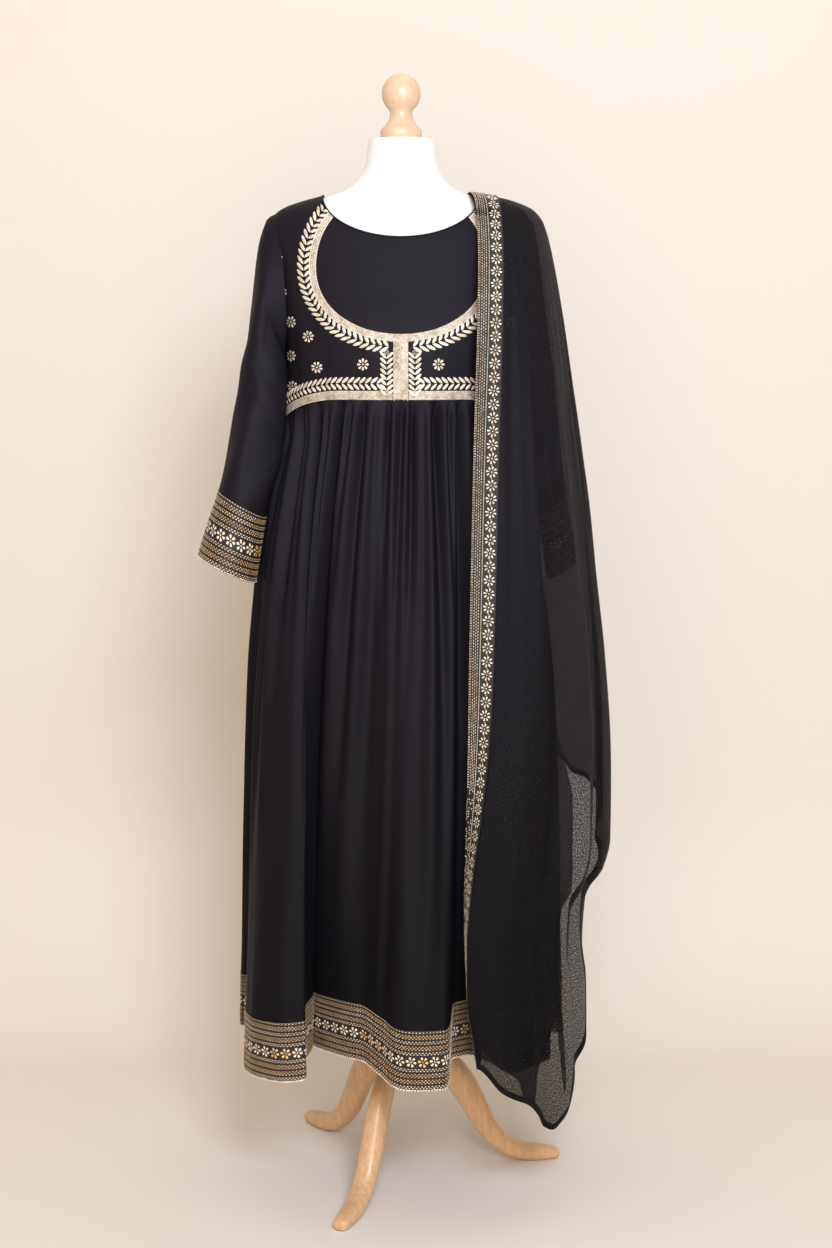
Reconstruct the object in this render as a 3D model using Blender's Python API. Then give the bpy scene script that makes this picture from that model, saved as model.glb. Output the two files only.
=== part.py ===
"""Anarkali churidar suit on a dress form: a long gathered kameez with embroidered borders,
and a chiffon dupatta over the wearer's left shoulder, on a limbless form with a tripod stand.

Metres, +Z up, the front faces -Y. Right and left are the wearer's, so right is towards -X.
The sizes are measured from the axis of the stand's pole, on the floor.
"""

import math

import bpy
import numpy as np

GEORGETTE = 0.0015
CHIFFON = 0.001
EMBROIDERY = 0.001
SEAM_GAP = 0.0004
TRIM_LIFT = 0.0005
YOKE_LIFT = 0.0011

FLOOR_TO_FORM = 0.800
NECK_TOP = 1.563
SEAM_FRONT = 1.191
SEAM_SIDE = 1.146
HEM_BAND_SHARE = 0.912

NECK_POINT = 1.4835
SHOULDER_TIP = 1.458
FRONT_NECK = 1.420
BACK_NECK = 1.466
UNDERARM = 1.250
ARMHOLE_DEPTH = 0.052
ARMHOLE_EASE = 0.0007

YOKE_CENTRE = 1.378
YOKE_HALF_WIDTH = 0.1205
YOKE_BELOW = 0.0945
YOKE_ABOVE = 0.113
YOKE_SQUARENESS = 2.1
YOKE_BAND = 0.031
YOKE_END_ANGLE = math.radians(129)
PLACKET_HALF_WIDTH = 0.029
PLACKET_TOP = 1.2495
WAIST_BAND = 0.034

GATHERS = 30
GATHER_DEPTH = 0.0038
SOFT_FOLDS = 17
SOFT_FOLD_DEPTH = 0.006

STRIP_WIDTH = 0.036
SHOULDER_ROWS_FROM = 1.443
DUPATTA_LEVEL_ROWS = 1.290

LEG_AZIMUTH = math.radians(-21)
HUB_RADIUS = 0.030
HUB_BOTTOM = 0.135
HUB_TOP = 0.215
POLE_RADIUS = 0.016
PART_GAP = 0.0003

QUARTER = math.pi / 2


class Table:
    """Rows of sizes under named columns, read smoothly between rows by the first column."""

    def __init__(self, columns, *rows):
        rows = sorted(rows)
        self.columns = dict(zip(columns.split(), np.array(rows, float).T))
        self.places = self.columns[columns.split()[0]]

    def at(self, column, place):
        x, y = self.places, self.columns[column]
        place = np.clip(place, x[0], x[-1])
        step, slope = np.diff(x), np.diff(y) / np.diff(x)
        same_way = slope[:-1] * slope[1:] > 0
        total = np.where(same_way, slope[:-1] + slope[1:], 1.0)
        middle = np.where(same_way, 2 * slope[:-1] * slope[1:] / total, 0.0)
        tangent = np.concatenate([slope[:1], middle, slope[-1:]])
        i = np.clip(np.searchsorted(x, place, side="right") - 1, 0, len(step) - 1)
        t = (place - x[i]) / step[i]
        rise = y[i] + step[i] * tangent[i] * t
        bend = 3 * slope[i] - 2 * tangent[i] - tangent[i + 1]
        twist = tangent[i] + tangent[i + 1] - 2 * slope[i]
        return rise + step[i] * t**2 * (bend + twist * t)


# The form under the dress, from its flat underside to the top of its neck.
FORM = Table(
    "height half_width front back squareness",
    (0.800, 0.146, 0.100, 0.105, 2.1),
    (0.812, 0.153, 0.105, 0.112, 2.1),
    (0.870, 0.158, 0.108, 0.120, 2.1),
    (0.960, 0.142, 0.100, 0.106, 2.1),
    (1.050, 0.122, 0.088, 0.088, 2.1),
    (1.140, 0.134, 0.102, 0.092, 2.1),
    (1.220, 0.150, 0.122, 0.100, 2.2),
    (1.290, 0.157, 0.117, 0.104, 2.5),
    (1.350, 0.166, 0.098, 0.104, 2.7),
    (1.400, 0.174, 0.083, 0.100, 2.7),
    (1.430, 0.179, 0.071, 0.090, 2.6),
    (1.448, 0.175, 0.063, 0.079, 2.4),
    (1.457, 0.168, 0.058, 0.072, 2.3),
    (1.465, 0.156, 0.055, 0.067, 2.2),
    (1.472, 0.138, 0.054, 0.064, 2.1),
    (1.479, 0.116, 0.053, 0.062, 2.0),
    (1.485, 0.096, 0.053, 0.060, 2.0),
    (1.492, 0.079, 0.052, 0.058, 2.0),
    (1.505, 0.0635, 0.051, 0.056, 2.0),
    (1.522, 0.0535, 0.049, 0.052, 2.0),
    (1.555, 0.0480, 0.048, 0.048, 2.0),
    (1.563, 0.0465, 0.0465, 0.0465, 2.0),
)

# The outer face of the bodice, which rests on the shoulders and bust and hangs clear below.
BODICE = Table(
    "height half_width front back squareness",
    (1.130, 0.172, 0.131, 0.114, 2.1),
    (1.190, 0.172, 0.132, 0.114, 2.1),
    (1.240, 0.169, 0.133, 0.113, 2.2),
    (1.290, 0.168, 0.127, 0.114, 2.5),
    (1.350, 0.176, 0.108, 0.114, 2.7),
    (1.400, 0.184, 0.091, 0.109, 2.7),
    (1.430, 0.188, 0.080, 0.099, 2.6),
    (1.448, 0.187, 0.071, 0.088, 2.4),
    (1.458, 0.182, 0.066, 0.081, 2.3),
    (1.467, 0.168, 0.063, 0.076, 2.2),
    (1.475, 0.145, 0.061, 0.073, 2.1),
    (1.4835, 0.114, 0.060, 0.070, 2.0),
    (1.492, 0.090, 0.059, 0.067, 2.0),
)

# The skirt's smooth outline under its folds, with the fuller side on the wearer's right.
# fullness is how far the hem's folds have opened.
SKIRT = Table(
    "height right left front back fullness",
    (0.222, 0.246, 0.246, 0.232, 0.232, 1.00),
    (0.307, 0.244, 0.244, 0.229, 0.228, 0.93),
    (0.506, 0.237, 0.236, 0.216, 0.215, 0.70),
    (0.677, 0.231, 0.228, 0.200, 0.198, 0.50),
    (0.800, 0.225, 0.220, 0.186, 0.182, 0.36),
    (0.900, 0.217, 0.209, 0.174, 0.168, 0.25),
    (0.960, 0.211, 0.201, 0.166, 0.158, 0.18),
    (1.040, 0.198, 0.185, 0.153, 0.140, 0.08),
    (1.100, 0.183, 0.177, 0.143, 0.126, 0.03),
    (1.146, 0.173, 0.172, 0.136, 0.115, 0.00),
    (1.191, 0.172, 0.172, 0.132, 0.114, 0.00),
)

# The hem's deep folds, anticlockwise from behind the wearer's right arm: two rows for the face
# of each fold and two for the hollow after it, where a fold may overhang its hollow.
HEM_FOLDS = (
    "azimuth radius height",
    (-106, 0.254, 0.231),
    (-90, 0.250, 0.231),
    (-82, 0.216, 0.236),
    (-74, 0.214, 0.236),
    (-58, 0.276, 0.210),
    (-35.5, 0.248, 0.215),
    (-52, 0.172, 0.236),
    (-20, 0.178, 0.234),
    (2, 0.242, 0.216),
    (14, 0.243, 0.215),
    (24, 0.186, 0.238),
    (32, 0.184, 0.238),
    (41, 0.256, 0.226),
    (58, 0.258, 0.226),
    (65, 0.202, 0.236),
    (76, 0.200, 0.236),
    (84, 0.246, 0.229),
    (99, 0.248, 0.229),
    (108, 0.202, 0.237),
    (119, 0.202, 0.237),
    (127, 0.258, 0.227),
    (143, 0.256, 0.227),
    (149, 0.190, 0.237),
    (161, 0.192, 0.237),
    (169, 0.254, 0.227),
    (187, 0.256, 0.227),
    (193, 0.196, 0.237),
    (204, 0.194, 0.237),
    (212, 0.258, 0.227),
    (230, 0.258, 0.227),
    (237, 0.206, 0.237),
    (247, 0.204, 0.237),
)

# The sleeves by rings from the armhole, with the ring's outer and inner ends seen from the
# front, its half depth, and how far forward its middle hangs.
SLEEVE_COLUMNS = "share outer_x outer_z inner_x inner_z depth forward"
SLEEVE_RIGHT = Table(
    SLEEVE_COLUMNS,
    (0.00, 0.1840, 1.4580, 0.1680, 1.2500, 0.052, 0.000),
    (0.10, 0.2050, 1.4150, 0.1730, 1.2300, 0.056, 0.001),
    (0.24, 0.2140, 1.3560, 0.1755, 1.2050, 0.057, 0.007),
    (0.38, 0.2240, 1.2880, 0.1770, 1.1700, 0.056, 0.017),
    (0.52, 0.2360, 1.2140, 0.1810, 1.1250, 0.054, 0.031),
    (0.66, 0.2490, 1.1340, 0.1910, 1.0700, 0.052, 0.047),
    (0.80, 0.2650, 1.0540, 0.2030, 1.0145, 0.050, 0.060),
    (0.90, 0.2810, 1.0060, 0.2110, 0.9660, 0.053, 0.067),
    (1.00, 0.2950, 0.9610, 0.2180, 0.9200, 0.056, 0.072),
)
SLEEVE_LEFT = Table(
    SLEEVE_COLUMNS,
    (0.00, 0.1840, 1.4580, 0.1680, 1.2500, 0.052, 0.000),
    (0.10, 0.1980, 1.4150, 0.1730, 1.2300, 0.056, 0.000),
    (0.24, 0.2070, 1.3560, 0.1765, 1.2050, 0.058, 0.000),
    (0.38, 0.2160, 1.2880, 0.1800, 1.1700, 0.060, 0.000),
    (0.52, 0.2250, 1.2140, 0.1850, 1.1250, 0.061, 0.000),
    (0.66, 0.2340, 1.1340, 0.1920, 1.0700, 0.062, 0.000),
    (0.80, 0.2440, 1.0500, 0.2030, 1.0200, 0.062, 0.000),
    (0.90, 0.2520, 1.0000, 0.2110, 0.9700, 0.064, 0.000),
    (1.00, 0.2600, 0.9520, 0.2180, 0.9240, 0.066, 0.000),
)
CUFF_FROM = 0.80
SLEEVE_SIDES = 18
HEAD_EASE = 0.0010

# The dupatta by level plan curves, from its front edge round the arm to its back edge. The
# edge strip in front is flat for its flat share, and curl turns it, in degrees, to the skirt.
DUPATTA = Table(
    "height inner side front back flat curl",
    (0.080, 0.120, 0.250, 0.240, 0.240, 1, 98),
    (0.126, 0.120, 0.258, 0.241, 0.240, 1, 98),
    (0.206, 0.119, 0.274, 0.242, 0.240, 1, 98),
    (0.286, 0.117, 0.266, 0.242, 0.240, 1, 96),
    (0.336, 0.115, 0.274, 0.241, 0.240, 1, 92),
    (0.380, 0.112, 0.268, 0.240, 0.240, 1, 87),
    (0.455, 0.104, 0.272, 0.237, 0.238, 1, 75),
    (0.495, 0.100, 0.298, 0.234, 0.236, 1, 67),
    (0.540, 0.097, 0.308, 0.231, 0.234, 1, 61),
    (0.677, 0.095, 0.306, 0.221, 0.222, 1, 34),
    (0.814, 0.096, 0.297, 0.206, 0.204, 1, 17),
    (0.935, 0.098, 0.284, 0.191, 0.186, 1, 6),
    (1.040, 0.100, 0.274, 0.177, 0.168, 0.8, 0),
    (1.158, 0.103, 0.258, 0.160, 0.146, 0.3, 0),
    (1.220, 0.105, 0.249, 0.153, 0.140, 0, 0),
    (1.290, 0.107, 0.239, 0.145, 0.138, 0, 0),
    (1.340, 0.108, 0.231, 0.133, 0.136, 0, 0),
    (1.400, 0.109, 0.220, 0.107, 0.126, 0, 0),
    (1.443, 0.108, 0.2075, 0.082, 0.104, 0, 0),
    (1.461, 0.105, 0.194, 0.069, 0.086, 0, 0),
    (1.4735, 0.102, 0.168, 0.055, 0.066, 0, 0),
    (1.4818, 0.099, 0.136, 0.033, 0.040, 0, 0),
    (1.4872, 0.096, 0.1005, 0.003, 0.003, 0, 0),
)
DUPATTA_SQUARENESS = 2.3

# The dupatta's lower edge: share runs along the plan curve, from 0 in front to 1 behind.
DUPATTA_END = Table(
    "share height",
    (0.00, 0.250),
    (0.08, 0.248),
    (0.12, 0.212),
    (0.17, 0.190),
    (0.20, 0.166),
    (0.225, 0.142),
    (0.25, 0.135),
    (0.28, 0.144),
    (0.31, 0.165),
    (0.35, 0.198),
    (0.38, 0.226),
    (0.41, 0.266),
    (0.435, 0.330),
    (0.455, 0.420),
    (0.475, 0.475),
    (0.50, 0.500),
    (0.54, 0.510),
    (0.60, 0.545),
    (0.70, 0.595),
    (0.82, 0.615),
    (1.00, 0.625),
)

# The dupatta's long folds: where each lies along the plan curve, and where it begins.
DUPATTA_FOLDS = (
    "share half_span depth start",
    (0.150, 0.040, 0.007, 1.10),
    (0.215, 0.030, -0.009, 1.20),
    (0.280, 0.035, 0.010, 1.05),
    (0.350, 0.028, -0.012, 1.25),
    (0.410, 0.030, 0.009, 1.10),
    (0.530, 0.035, -0.010, 1.15),
    (0.610, 0.040, 0.010, 1.20),
    (0.700, 0.035, -0.010, 1.10),
    (0.790, 0.040, 0.009, 1.20),
    (0.880, 0.035, -0.008, 1.05),
)

# A leg's side view, from the hub to the toe: its middle line, thickness and width.
LEG = Table(
    "share reach height thickness width",
    (0.00, 0.0304, 0.180, 0.046, 0.028),
    (0.14, 0.0620, 0.168, 0.048, 0.031),
    (0.28, 0.0900, 0.138, 0.046, 0.034),
    (0.42, 0.1110, 0.102, 0.042, 0.036),
    (0.56, 0.1300, 0.066, 0.037, 0.036),
    (0.68, 0.1500, 0.0385, 0.032, 0.035),
    (0.79, 0.1760, 0.0195, 0.030, 0.034),
    (0.88, 0.2060, 0.0115, 0.027, 0.032),
    (0.95, 0.2310, 0.0100, 0.024, 0.029),
    (1.00, 0.2500, 0.0080, 0.018, 0.023),
)


def finish(name, colour, roughness, metallic=0.0):
    material = bpy.data.materials.new(name)
    material.use_nodes = True
    shader = material.node_tree.nodes["Principled BSDF"]
    shader.inputs["Base Color"].default_value = (*colour, 1.0)
    shader.inputs["Roughness"].default_value = roughness
    shader.inputs["Metallic"].default_value = metallic
    return material


def add_object(name, points, faces, material, smooth_angle=40):
    mesh = bpy.data.meshes.new(name)
    mesh.from_pydata([tuple(map(float, p)) for p in points], [], faces)
    mesh.materials.append(material)
    mesh.shade_smooth()
    mesh.set_sharp_from_angle(angle=math.radians(smooth_angle))
    made = bpy.data.objects.new(name, mesh)
    bpy.context.scene.collection.objects.link(made)
    made.parent = ORIGIN
    return made


def strip_faces(rows, columns, closed):
    """Triangles over a grid of points, facing out where rows run down and columns run right."""
    faces = []
    for i in range(rows - 1):
        for j in range(columns if closed else columns - 1):
            right = (j + 1) % columns
            a, b = i * columns + j, (i + 1) * columns + j
            c, d = (i + 1) * columns + right, i * columns + right
            faces += [(a, b, c), (a, c, d)]
    return faces


def wall(name, surface, across, down, inner, outer, material, closed=False):
    """A sheet of cloth between two distances out from a surface, closed round its edges."""
    across, down = np.broadcast_arrays(across, down)
    near = 1e-3
    along = surface(across + near, down) - surface(across - near, down)
    fall = surface(across, down + near) - surface(across, down - near)
    normal = np.cross(fall, along)
    normal /= np.linalg.norm(normal, axis=2, keepdims=True)
    middle = surface(across, down)
    rows, columns = middle.shape[:2]
    count = rows * columns
    points = np.concatenate([(middle + normal * off).reshape(-1, 3) for off in (outer, inner)])
    faces = strip_faces(rows, columns, closed)
    faces += [tuple(count + v for v in face[::-1]) for face in faces]
    rim = [j for j in range(columns)]
    last = (rows - 1) * columns
    if closed:
        edges = [(j, (j + 1) % columns) for j in rim]
        edges += [(last + (j + 1) % columns, last + j) for j in rim]
    else:
        edges = list(zip(rim, rim[1:]))
        edges += [(last + j + 1, last + j) for j in rim[:-1]]
        edges += [((i + 1) * columns, i * columns) for i in range(rows - 1)]
        edges += [((i + 1) * columns - 1, (i + 2) * columns - 1) for i in range(rows - 1)]
    faces += [(a, b, count + b, count + a) for a, b in edges]
    return add_object(name, points, faces, material)


def solid(name, rings, material, smooth_angle=40):
    """A solid through closed rings of points, from the top ring down, with flat ends."""
    rings = np.asarray(rings, float)
    rows, columns = rings.shape[:2]
    faces = strip_faces(rows, columns, True)
    faces.append(tuple(range(columns)))
    faces.append(tuple((rows - 1) * columns + j for j in reversed(range(columns))))
    return add_object(name, rings.reshape(-1, 3), faces, material, smooth_angle)


def turned(name, profile, material, sides=20):
    """A turned piece: profile holds its radius and height from the top down."""
    turn = np.linspace(0, 2 * math.pi, sides, endpoint=False)
    radius, height = np.array(profile).T[:, :, None]
    rings = np.stack([radius * np.sin(turn), -radius * np.cos(turn), height + 0 * turn], axis=2)
    return solid(name, rings, material)


def trunk_point(table, turn, height):
    """A point on a trunk's outer face. turn is 0 in front and a quarter at the left side."""
    square = table.at("squareness", height)
    sine, cosine = np.sin(turn), np.cos(turn)
    scale = (np.abs(sine) ** square + np.abs(cosine) ** square) ** (-1 / square)
    depth = np.where(cosine > 0, table.at("front", height), table.at("back", height))
    width = table.at("half_width", height)
    return np.stack([width * sine * scale, -depth * cosine * scale, height + 0 * turn], axis=-1)


def bodice_surface(turn, height):
    return trunk_point(BODICE, turn, height)


def downwards(surface, top=2.0):
    """The same surface read by a second place that grows downwards."""
    return lambda across, drop: surface(across, top - drop)


def bodice_turn(x, height):
    """The turn at which the bodice has this distance from the middle line."""
    square = BODICE.at("squareness", height)
    share = np.clip(np.abs(x) / BODICE.at("half_width", height), 0, 1)
    return np.sign(x) * np.arctan2(share, (1 - share**square) ** (1 / square))


def bodice_side_x(y, height):
    """The bodice's distance from the middle line at this depth."""
    square = BODICE.at("squareness", height)
    depth = np.where(y < 0, BODICE.at("front", height), BODICE.at("back", height))
    share = np.clip(np.abs(y) / depth, 0, 1)
    return BODICE.at("half_width", height) * (1 - share**square) ** (1 / square)


def armhole(around, grow=0.0):
    """The armhole's depth and height: around is 0 at the shoulder tip and pi under the arm."""
    half = (SHOULDER_TIP - UNDERARM) / 2
    height = SHOULDER_TIP - half + (half + grow) * np.cos(around)
    return -(ARMHOLE_DEPTH + grow) * np.sin(around), height


def seam_height(turn):
    """The waist seam dips from the middle of the front to the sides and is level behind."""
    side = np.clip(np.abs(turn) / QUARTER, 0, 1)
    drop = np.where(side > 0.35, (side - 0.35) / 0.65, 0.0)
    return SEAM_FRONT - (SEAM_FRONT - SEAM_SIDE) * drop**1.6


def blend(start, end, share):
    return start + (end - start) * share[..., None]


def panel_domain(neck_height, columns, rows, neck_columns, hole_rows, behind):
    """Turn and height over half a bodice panel, from the middle line to the side seam."""
    side = QUARTER - SEAM_GAP / 2 / BODICE.at("front", NECK_POINT)
    sweep = QUARTER * np.sin(np.linspace(0, QUARTER, neck_columns))
    neck_x = BODICE.at("half_width", NECK_POINT) * np.sin(sweep)
    neck_z = NECK_POINT - (NECK_POINT - neck_height) * np.cos(sweep)
    shoulder_z = np.linspace(NECK_POINT, SHOULDER_TIP + ARMHOLE_EASE, columns - neck_columns + 1)[1:]
    shoulder_x = BODICE.at("half_width", shoulder_z)
    top = np.stack([np.append(neck_x, shoulder_x), np.append(neck_z, shoulder_z)], axis=-1)
    y, z = armhole(np.linspace(0, math.pi, hole_rows), ARMHOLE_EASE)
    y = -y if behind else y
    hole = np.stack([bodice_side_x(y, z), z], axis=-1)
    seam_z = np.linspace(z[-1], SEAM_SIDE, rows - hole_rows + 1)[1:]
    seam = np.stack([BODICE.at("half_width", seam_z), seam_z], axis=-1)
    outer = np.concatenate([hole, seam])
    outer[0] = top[-1]
    edge = trunk_point(BODICE, np.minimum(bodice_turn(*top.T), side), top[:, 1])
    length = np.concatenate([[0], np.cumsum(np.linalg.norm(np.diff(edge, axis=0), axis=1))])
    turn = side * length / length[-1]
    bottom_z = seam_height(math.pi - turn if behind else turn)
    bottom = trunk_point(BODICE, turn, bottom_z)[:, [0, 2]]
    fall = (outer[0, 1] - outer[:, 1]) / (outer[0, 1] - outer[-1, 1])
    middle = np.stack([0 * fall, neck_height + (bottom_z[0] - neck_height) * fall], axis=-1)
    u, v = np.meshgrid(length / length[-1], fall)
    ruled = blend(top[None], bottom[None], v) + blend(middle[:, None], outer[:, None], u)
    corners = blend(blend(top[0], top[-1], u), blend(bottom[0], bottom[-1], u), v)
    x, z = np.moveaxis(ruled - corners, -1, 0)
    return np.minimum(bodice_turn(x, z), side), z


def bodice_panel(name, neck_height, columns, behind, material):
    neck_columns, hole_rows = columns * 3 // 5, SLEEVE_SIDES // 2 + 1
    turn, height = panel_domain(neck_height, columns, 14, neck_columns, hole_rows, behind)
    turn = np.concatenate([-turn[:, :0:-1], turn], axis=1)
    height = np.concatenate([height[:, :0:-1], height], axis=1)
    if behind:
        turn = math.pi - turn[:, ::-1]
    surface = downwards(bodice_surface)
    return wall(name, surface, turn, 2.0 - height, -GEORGETTE, 0.0, material)


def yoke_surface(angle, across):
    """The bodice by the U round its plain centre: angle runs along it, across runs outwards."""
    below = np.cos(angle) > 0
    power = 2 / YOKE_SQUARENESS
    sine, cosine = np.sin(angle), np.cos(angle)
    x = YOKE_HALF_WIDTH * np.sign(sine) * np.abs(sine) ** power
    rise = np.where(below, YOKE_BELOW, YOKE_ABOVE)
    z = YOKE_CENTRE - rise * np.sign(cosine) * np.abs(cosine) ** power
    out_x = np.sign(sine) * np.abs(sine) ** (2 - power) / YOKE_HALF_WIDTH
    out_z = -np.sign(cosine) * np.abs(cosine) ** (2 - power) / rise
    reach = across / np.hypot(out_x, out_z)
    x, z = x + out_x * reach, z + out_z * reach
    return bodice_surface(bodice_turn(x, z), z)


def hem_curve(count):
    """Points evenly spaced round the hem, as azimuth, radius and height, from the back."""
    azimuth, radius, height = np.array(HEM_FOLDS[1:]).T
    azimuth = np.concatenate([np.radians(azimuth) + lap * 2 * math.pi for lap in (-1, 0, 1)])
    radius, height = np.tile(radius, 3), np.tile(height, 3)
    x, y = radius * np.sin(azimuth), radius * np.cos(azimuth)
    chord = np.concatenate([[0], np.cumsum(np.hypot(np.diff(x), np.diff(y)))])
    curve = Table("length azimuth radius height", *zip(chord, azimuth, radius, height))
    fine = np.linspace(0, chord[-1], 6001)
    a, r = curve.at("azimuth", fine), curve.at("radius", fine)
    steps = np.hypot(np.diff(r * np.sin(a)), np.diff(r * np.cos(a)))
    length = np.concatenate([[0], np.cumsum(steps)])
    ends = [length[np.argmin(np.abs(a - end))] for end in (-math.pi, math.pi)]
    even = np.interp(np.linspace(*ends, count + 1), length, fine)
    return [curve.at(column, even) for column in ("azimuth", "radius", "height")]


HEM_SAMPLES = 720
HEM_AZIMUTH, HEM_RADIUS, HEM_HEIGHT = hem_curve(HEM_SAMPLES)


def round_hem(values, turn):
    """A value of the hem at a thread that leaves the waist seam at this turn."""
    place = (turn + math.pi) / (2 * math.pi) * HEM_SAMPLES
    return np.interp(place, np.arange(HEM_SAMPLES + 1), values)


def skirt_radius(azimuth, height):
    """The skirt's smooth outline, as an ellipse for each quarter."""
    sine, cosine = np.sin(azimuth), np.cos(azimuth)
    width = np.where(sine < 0, SKIRT.at("right", height), SKIRT.at("left", height))
    depth = np.where(cosine > 0, SKIRT.at("front", height), SKIRT.at("back", height))
    return 1 / np.sqrt((sine / width) ** 2 + (cosine / depth) ** 2)


def skirt_surface(turn, share):
    """The gathered skirt: turn names a thread at the waist seam, share runs down to the hem."""
    lap = 2 * math.pi * np.floor((turn + math.pi) / (2 * math.pi))
    turn = turn - lap
    start = trunk_point(BODICE, turn, seam_height(turn))
    seam_azimuth = np.arctan2(start[..., 0], -start[..., 1])
    turned = np.clip(share, 0, 1) ** 0.8
    azimuth = seam_azimuth + (round_hem(HEM_AZIMUTH, turn) - seam_azimuth) * turned
    height = start[..., 2] + (round_hem(HEM_HEIGHT, turn) - start[..., 2]) * share
    seam_radius = np.hypot(start[..., 0], start[..., 1])
    above = seam_radius - skirt_radius(seam_azimuth, start[..., 2])
    smooth = skirt_radius(azimuth, height) + above * np.clip(1 - share / 0.2, 0, 1)
    hem_smooth = skirt_radius(round_hem(HEM_AZIMUTH, turn), 0.0)
    opened = (round_hem(HEM_RADIUS, turn) - hem_smooth) * SKIRT.at("fullness", height)
    uneven = 1 + 0.35 * np.sin(5 * turn + 1) + 0.25 * np.sin(11 * turn)
    fade = np.clip(0.35 + share / 0.06, 0, 1) * np.clip(1.25 - 1.6 * share, 0.12, 1)
    gather = GATHER_DEPTH * fade * uneven * np.cos(GATHERS * turn)
    swell = np.sin(math.pi * np.clip(share * 1.15, 0, 1))
    soft = SOFT_FOLD_DEPTH * swell * np.cos(SOFT_FOLDS * turn + 1.2 * np.sin(3 * turn))
    radius = smooth + opened + gather + soft
    return np.stack([radius * np.sin(azimuth), -radius * np.cos(azimuth), height], axis=-1)


def skirt_piece(name, middle_turn, shares, inner, outer, material):
    edge = QUARTER - SEAM_GAP / 2 / SKIRT.at("left", SEAM_SIDE)
    turns = middle_turn + np.linspace(-edge, edge, 61)
    return wall(name, skirt_surface, turns[None], np.array(shares)[:, None], inner, outer, material)


def sleeve_surface(table, side):
    """A sleeve's outer face: around runs from its top over the front, share down to the cuff."""

    def surface(around, share):
        outer = np.stack([table.at("outer_x", share), table.at("outer_z", share)])
        inner = np.stack([table.at("inner_x", share), table.at("inner_z", share)])
        middle, half = (outer + inner) / 2, (outer - inner) / 2
        x, z = middle + half * np.cos(around)
        y = side * table.at("depth", share) * np.sin(around) - table.at("forward", share)
        head = np.clip(1 - share / 0.12, 0, 1)
        head = head * head * (3 - 2 * head)
        head_y, head_z = armhole(-side * around)
        x = x + (bodice_side_x(head_y, head_z) + HEAD_EASE - x) * head
        y = y + (head_y - y) * head
        return np.stack([side * x, y, z], axis=-1)

    return surface


def sleeve(side_name, side, table, material, cuff_material):
    surface = sleeve_surface(table, side)
    around = np.linspace(0, 2 * math.pi, SLEEVE_SIDES, endpoint=False)[None]
    shares = np.array([0.0, 0.05, 0.12, 0.24, 0.38, 0.52, 0.66, CUFF_FROM - 0.002])
    wall("sleeve_" + side_name, surface, around, shares[:, None], -GEORGETTE, 0.0, material, True)
    shares = np.array([CUFF_FROM, 0.86, 0.93, 1.0])[:, None]
    wall("cuff_" + side_name, surface, around, shares, -GEORGETTE, 0.0002, cuff_material, True)


def dupatta_curve(height):
    """The plan curve at one height: fine points, the length along it, and where its side is."""
    inner, side = DUPATTA.at("inner", height), DUPATTA.at("side", height)
    curl = math.radians(float(DUPATTA.at("curl", height)))
    flat = STRIP_WIDTH * float(DUPATTA.at("flat", height))
    middle = inner + flat * math.cos(curl)
    turn = np.linspace(-QUARTER, QUARTER, 181)
    sine, cosine = np.sin(turn), np.cos(turn)
    scale = (np.abs(sine) ** DUPATTA_SQUARENESS + np.abs(cosine) ** DUPATTA_SQUARENESS) ** (
        -1 / DUPATTA_SQUARENESS
    )
    depth = np.where(sine < 0, DUPATTA.at("front", height), DUPATTA.at("back", height))
    x, y = middle + (side - middle) * cosine * scale, depth * sine * scale
    strip = np.linspace(1, 0, 12, endpoint=False) * flat
    x = np.concatenate([middle - strip * math.cos(curl), x])
    y = np.concatenate([y[0] + strip * math.sin(curl), y])
    length = np.concatenate([[0], np.cumsum(np.hypot(np.diff(x), np.diff(y)))])
    return x, y, length, length[len(strip) + len(turn) // 2]


STRIP_SHARE = 0.08
FOLD_OPENING = 0.45
RIDGE_EASE = 0.0025


def dupatta_point(share, height):
    """One point of the dupatta before its long folds."""
    x, y, length, side = dupatta_curve(height)
    whole = length[-1]
    strip = min(STRIP_WIDTH, side * 0.4)
    marks = np.array([0.0, strip, side, whole])
    place = np.interp(share, (0.0, STRIP_SHARE, 0.5, 1.0), marks)
    if share > 1 - STRIP_SHARE:
        back = min(STRIP_WIDTH, (whole - side) * 0.4)
        place = whole - back * (1 - share) / STRIP_SHARE
    elif share > 0.5:
        back = min(STRIP_WIDTH, (whole - side) * 0.4)
        place = side + (whole - back - side) * (share - 0.5) / (0.5 - STRIP_SHARE)
    return np.interp(place, length, x), np.interp(place, length, y)


def dupatta_height(share, drop):
    """Level rows over the shoulder, then rows spread down to the lower edge."""
    end = DUPATTA_END.at("height", share)
    level = DUPATTA.places[-1] - drop
    fall = np.clip(DUPATTA_LEVEL_ROWS - level, 0, None) / DUPATTA_LEVEL_ROWS
    return np.where(
        level > DUPATTA_LEVEL_ROWS, level, DUPATTA_LEVEL_ROWS - (DUPATTA_LEVEL_ROWS - end) * fall
    )


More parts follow.
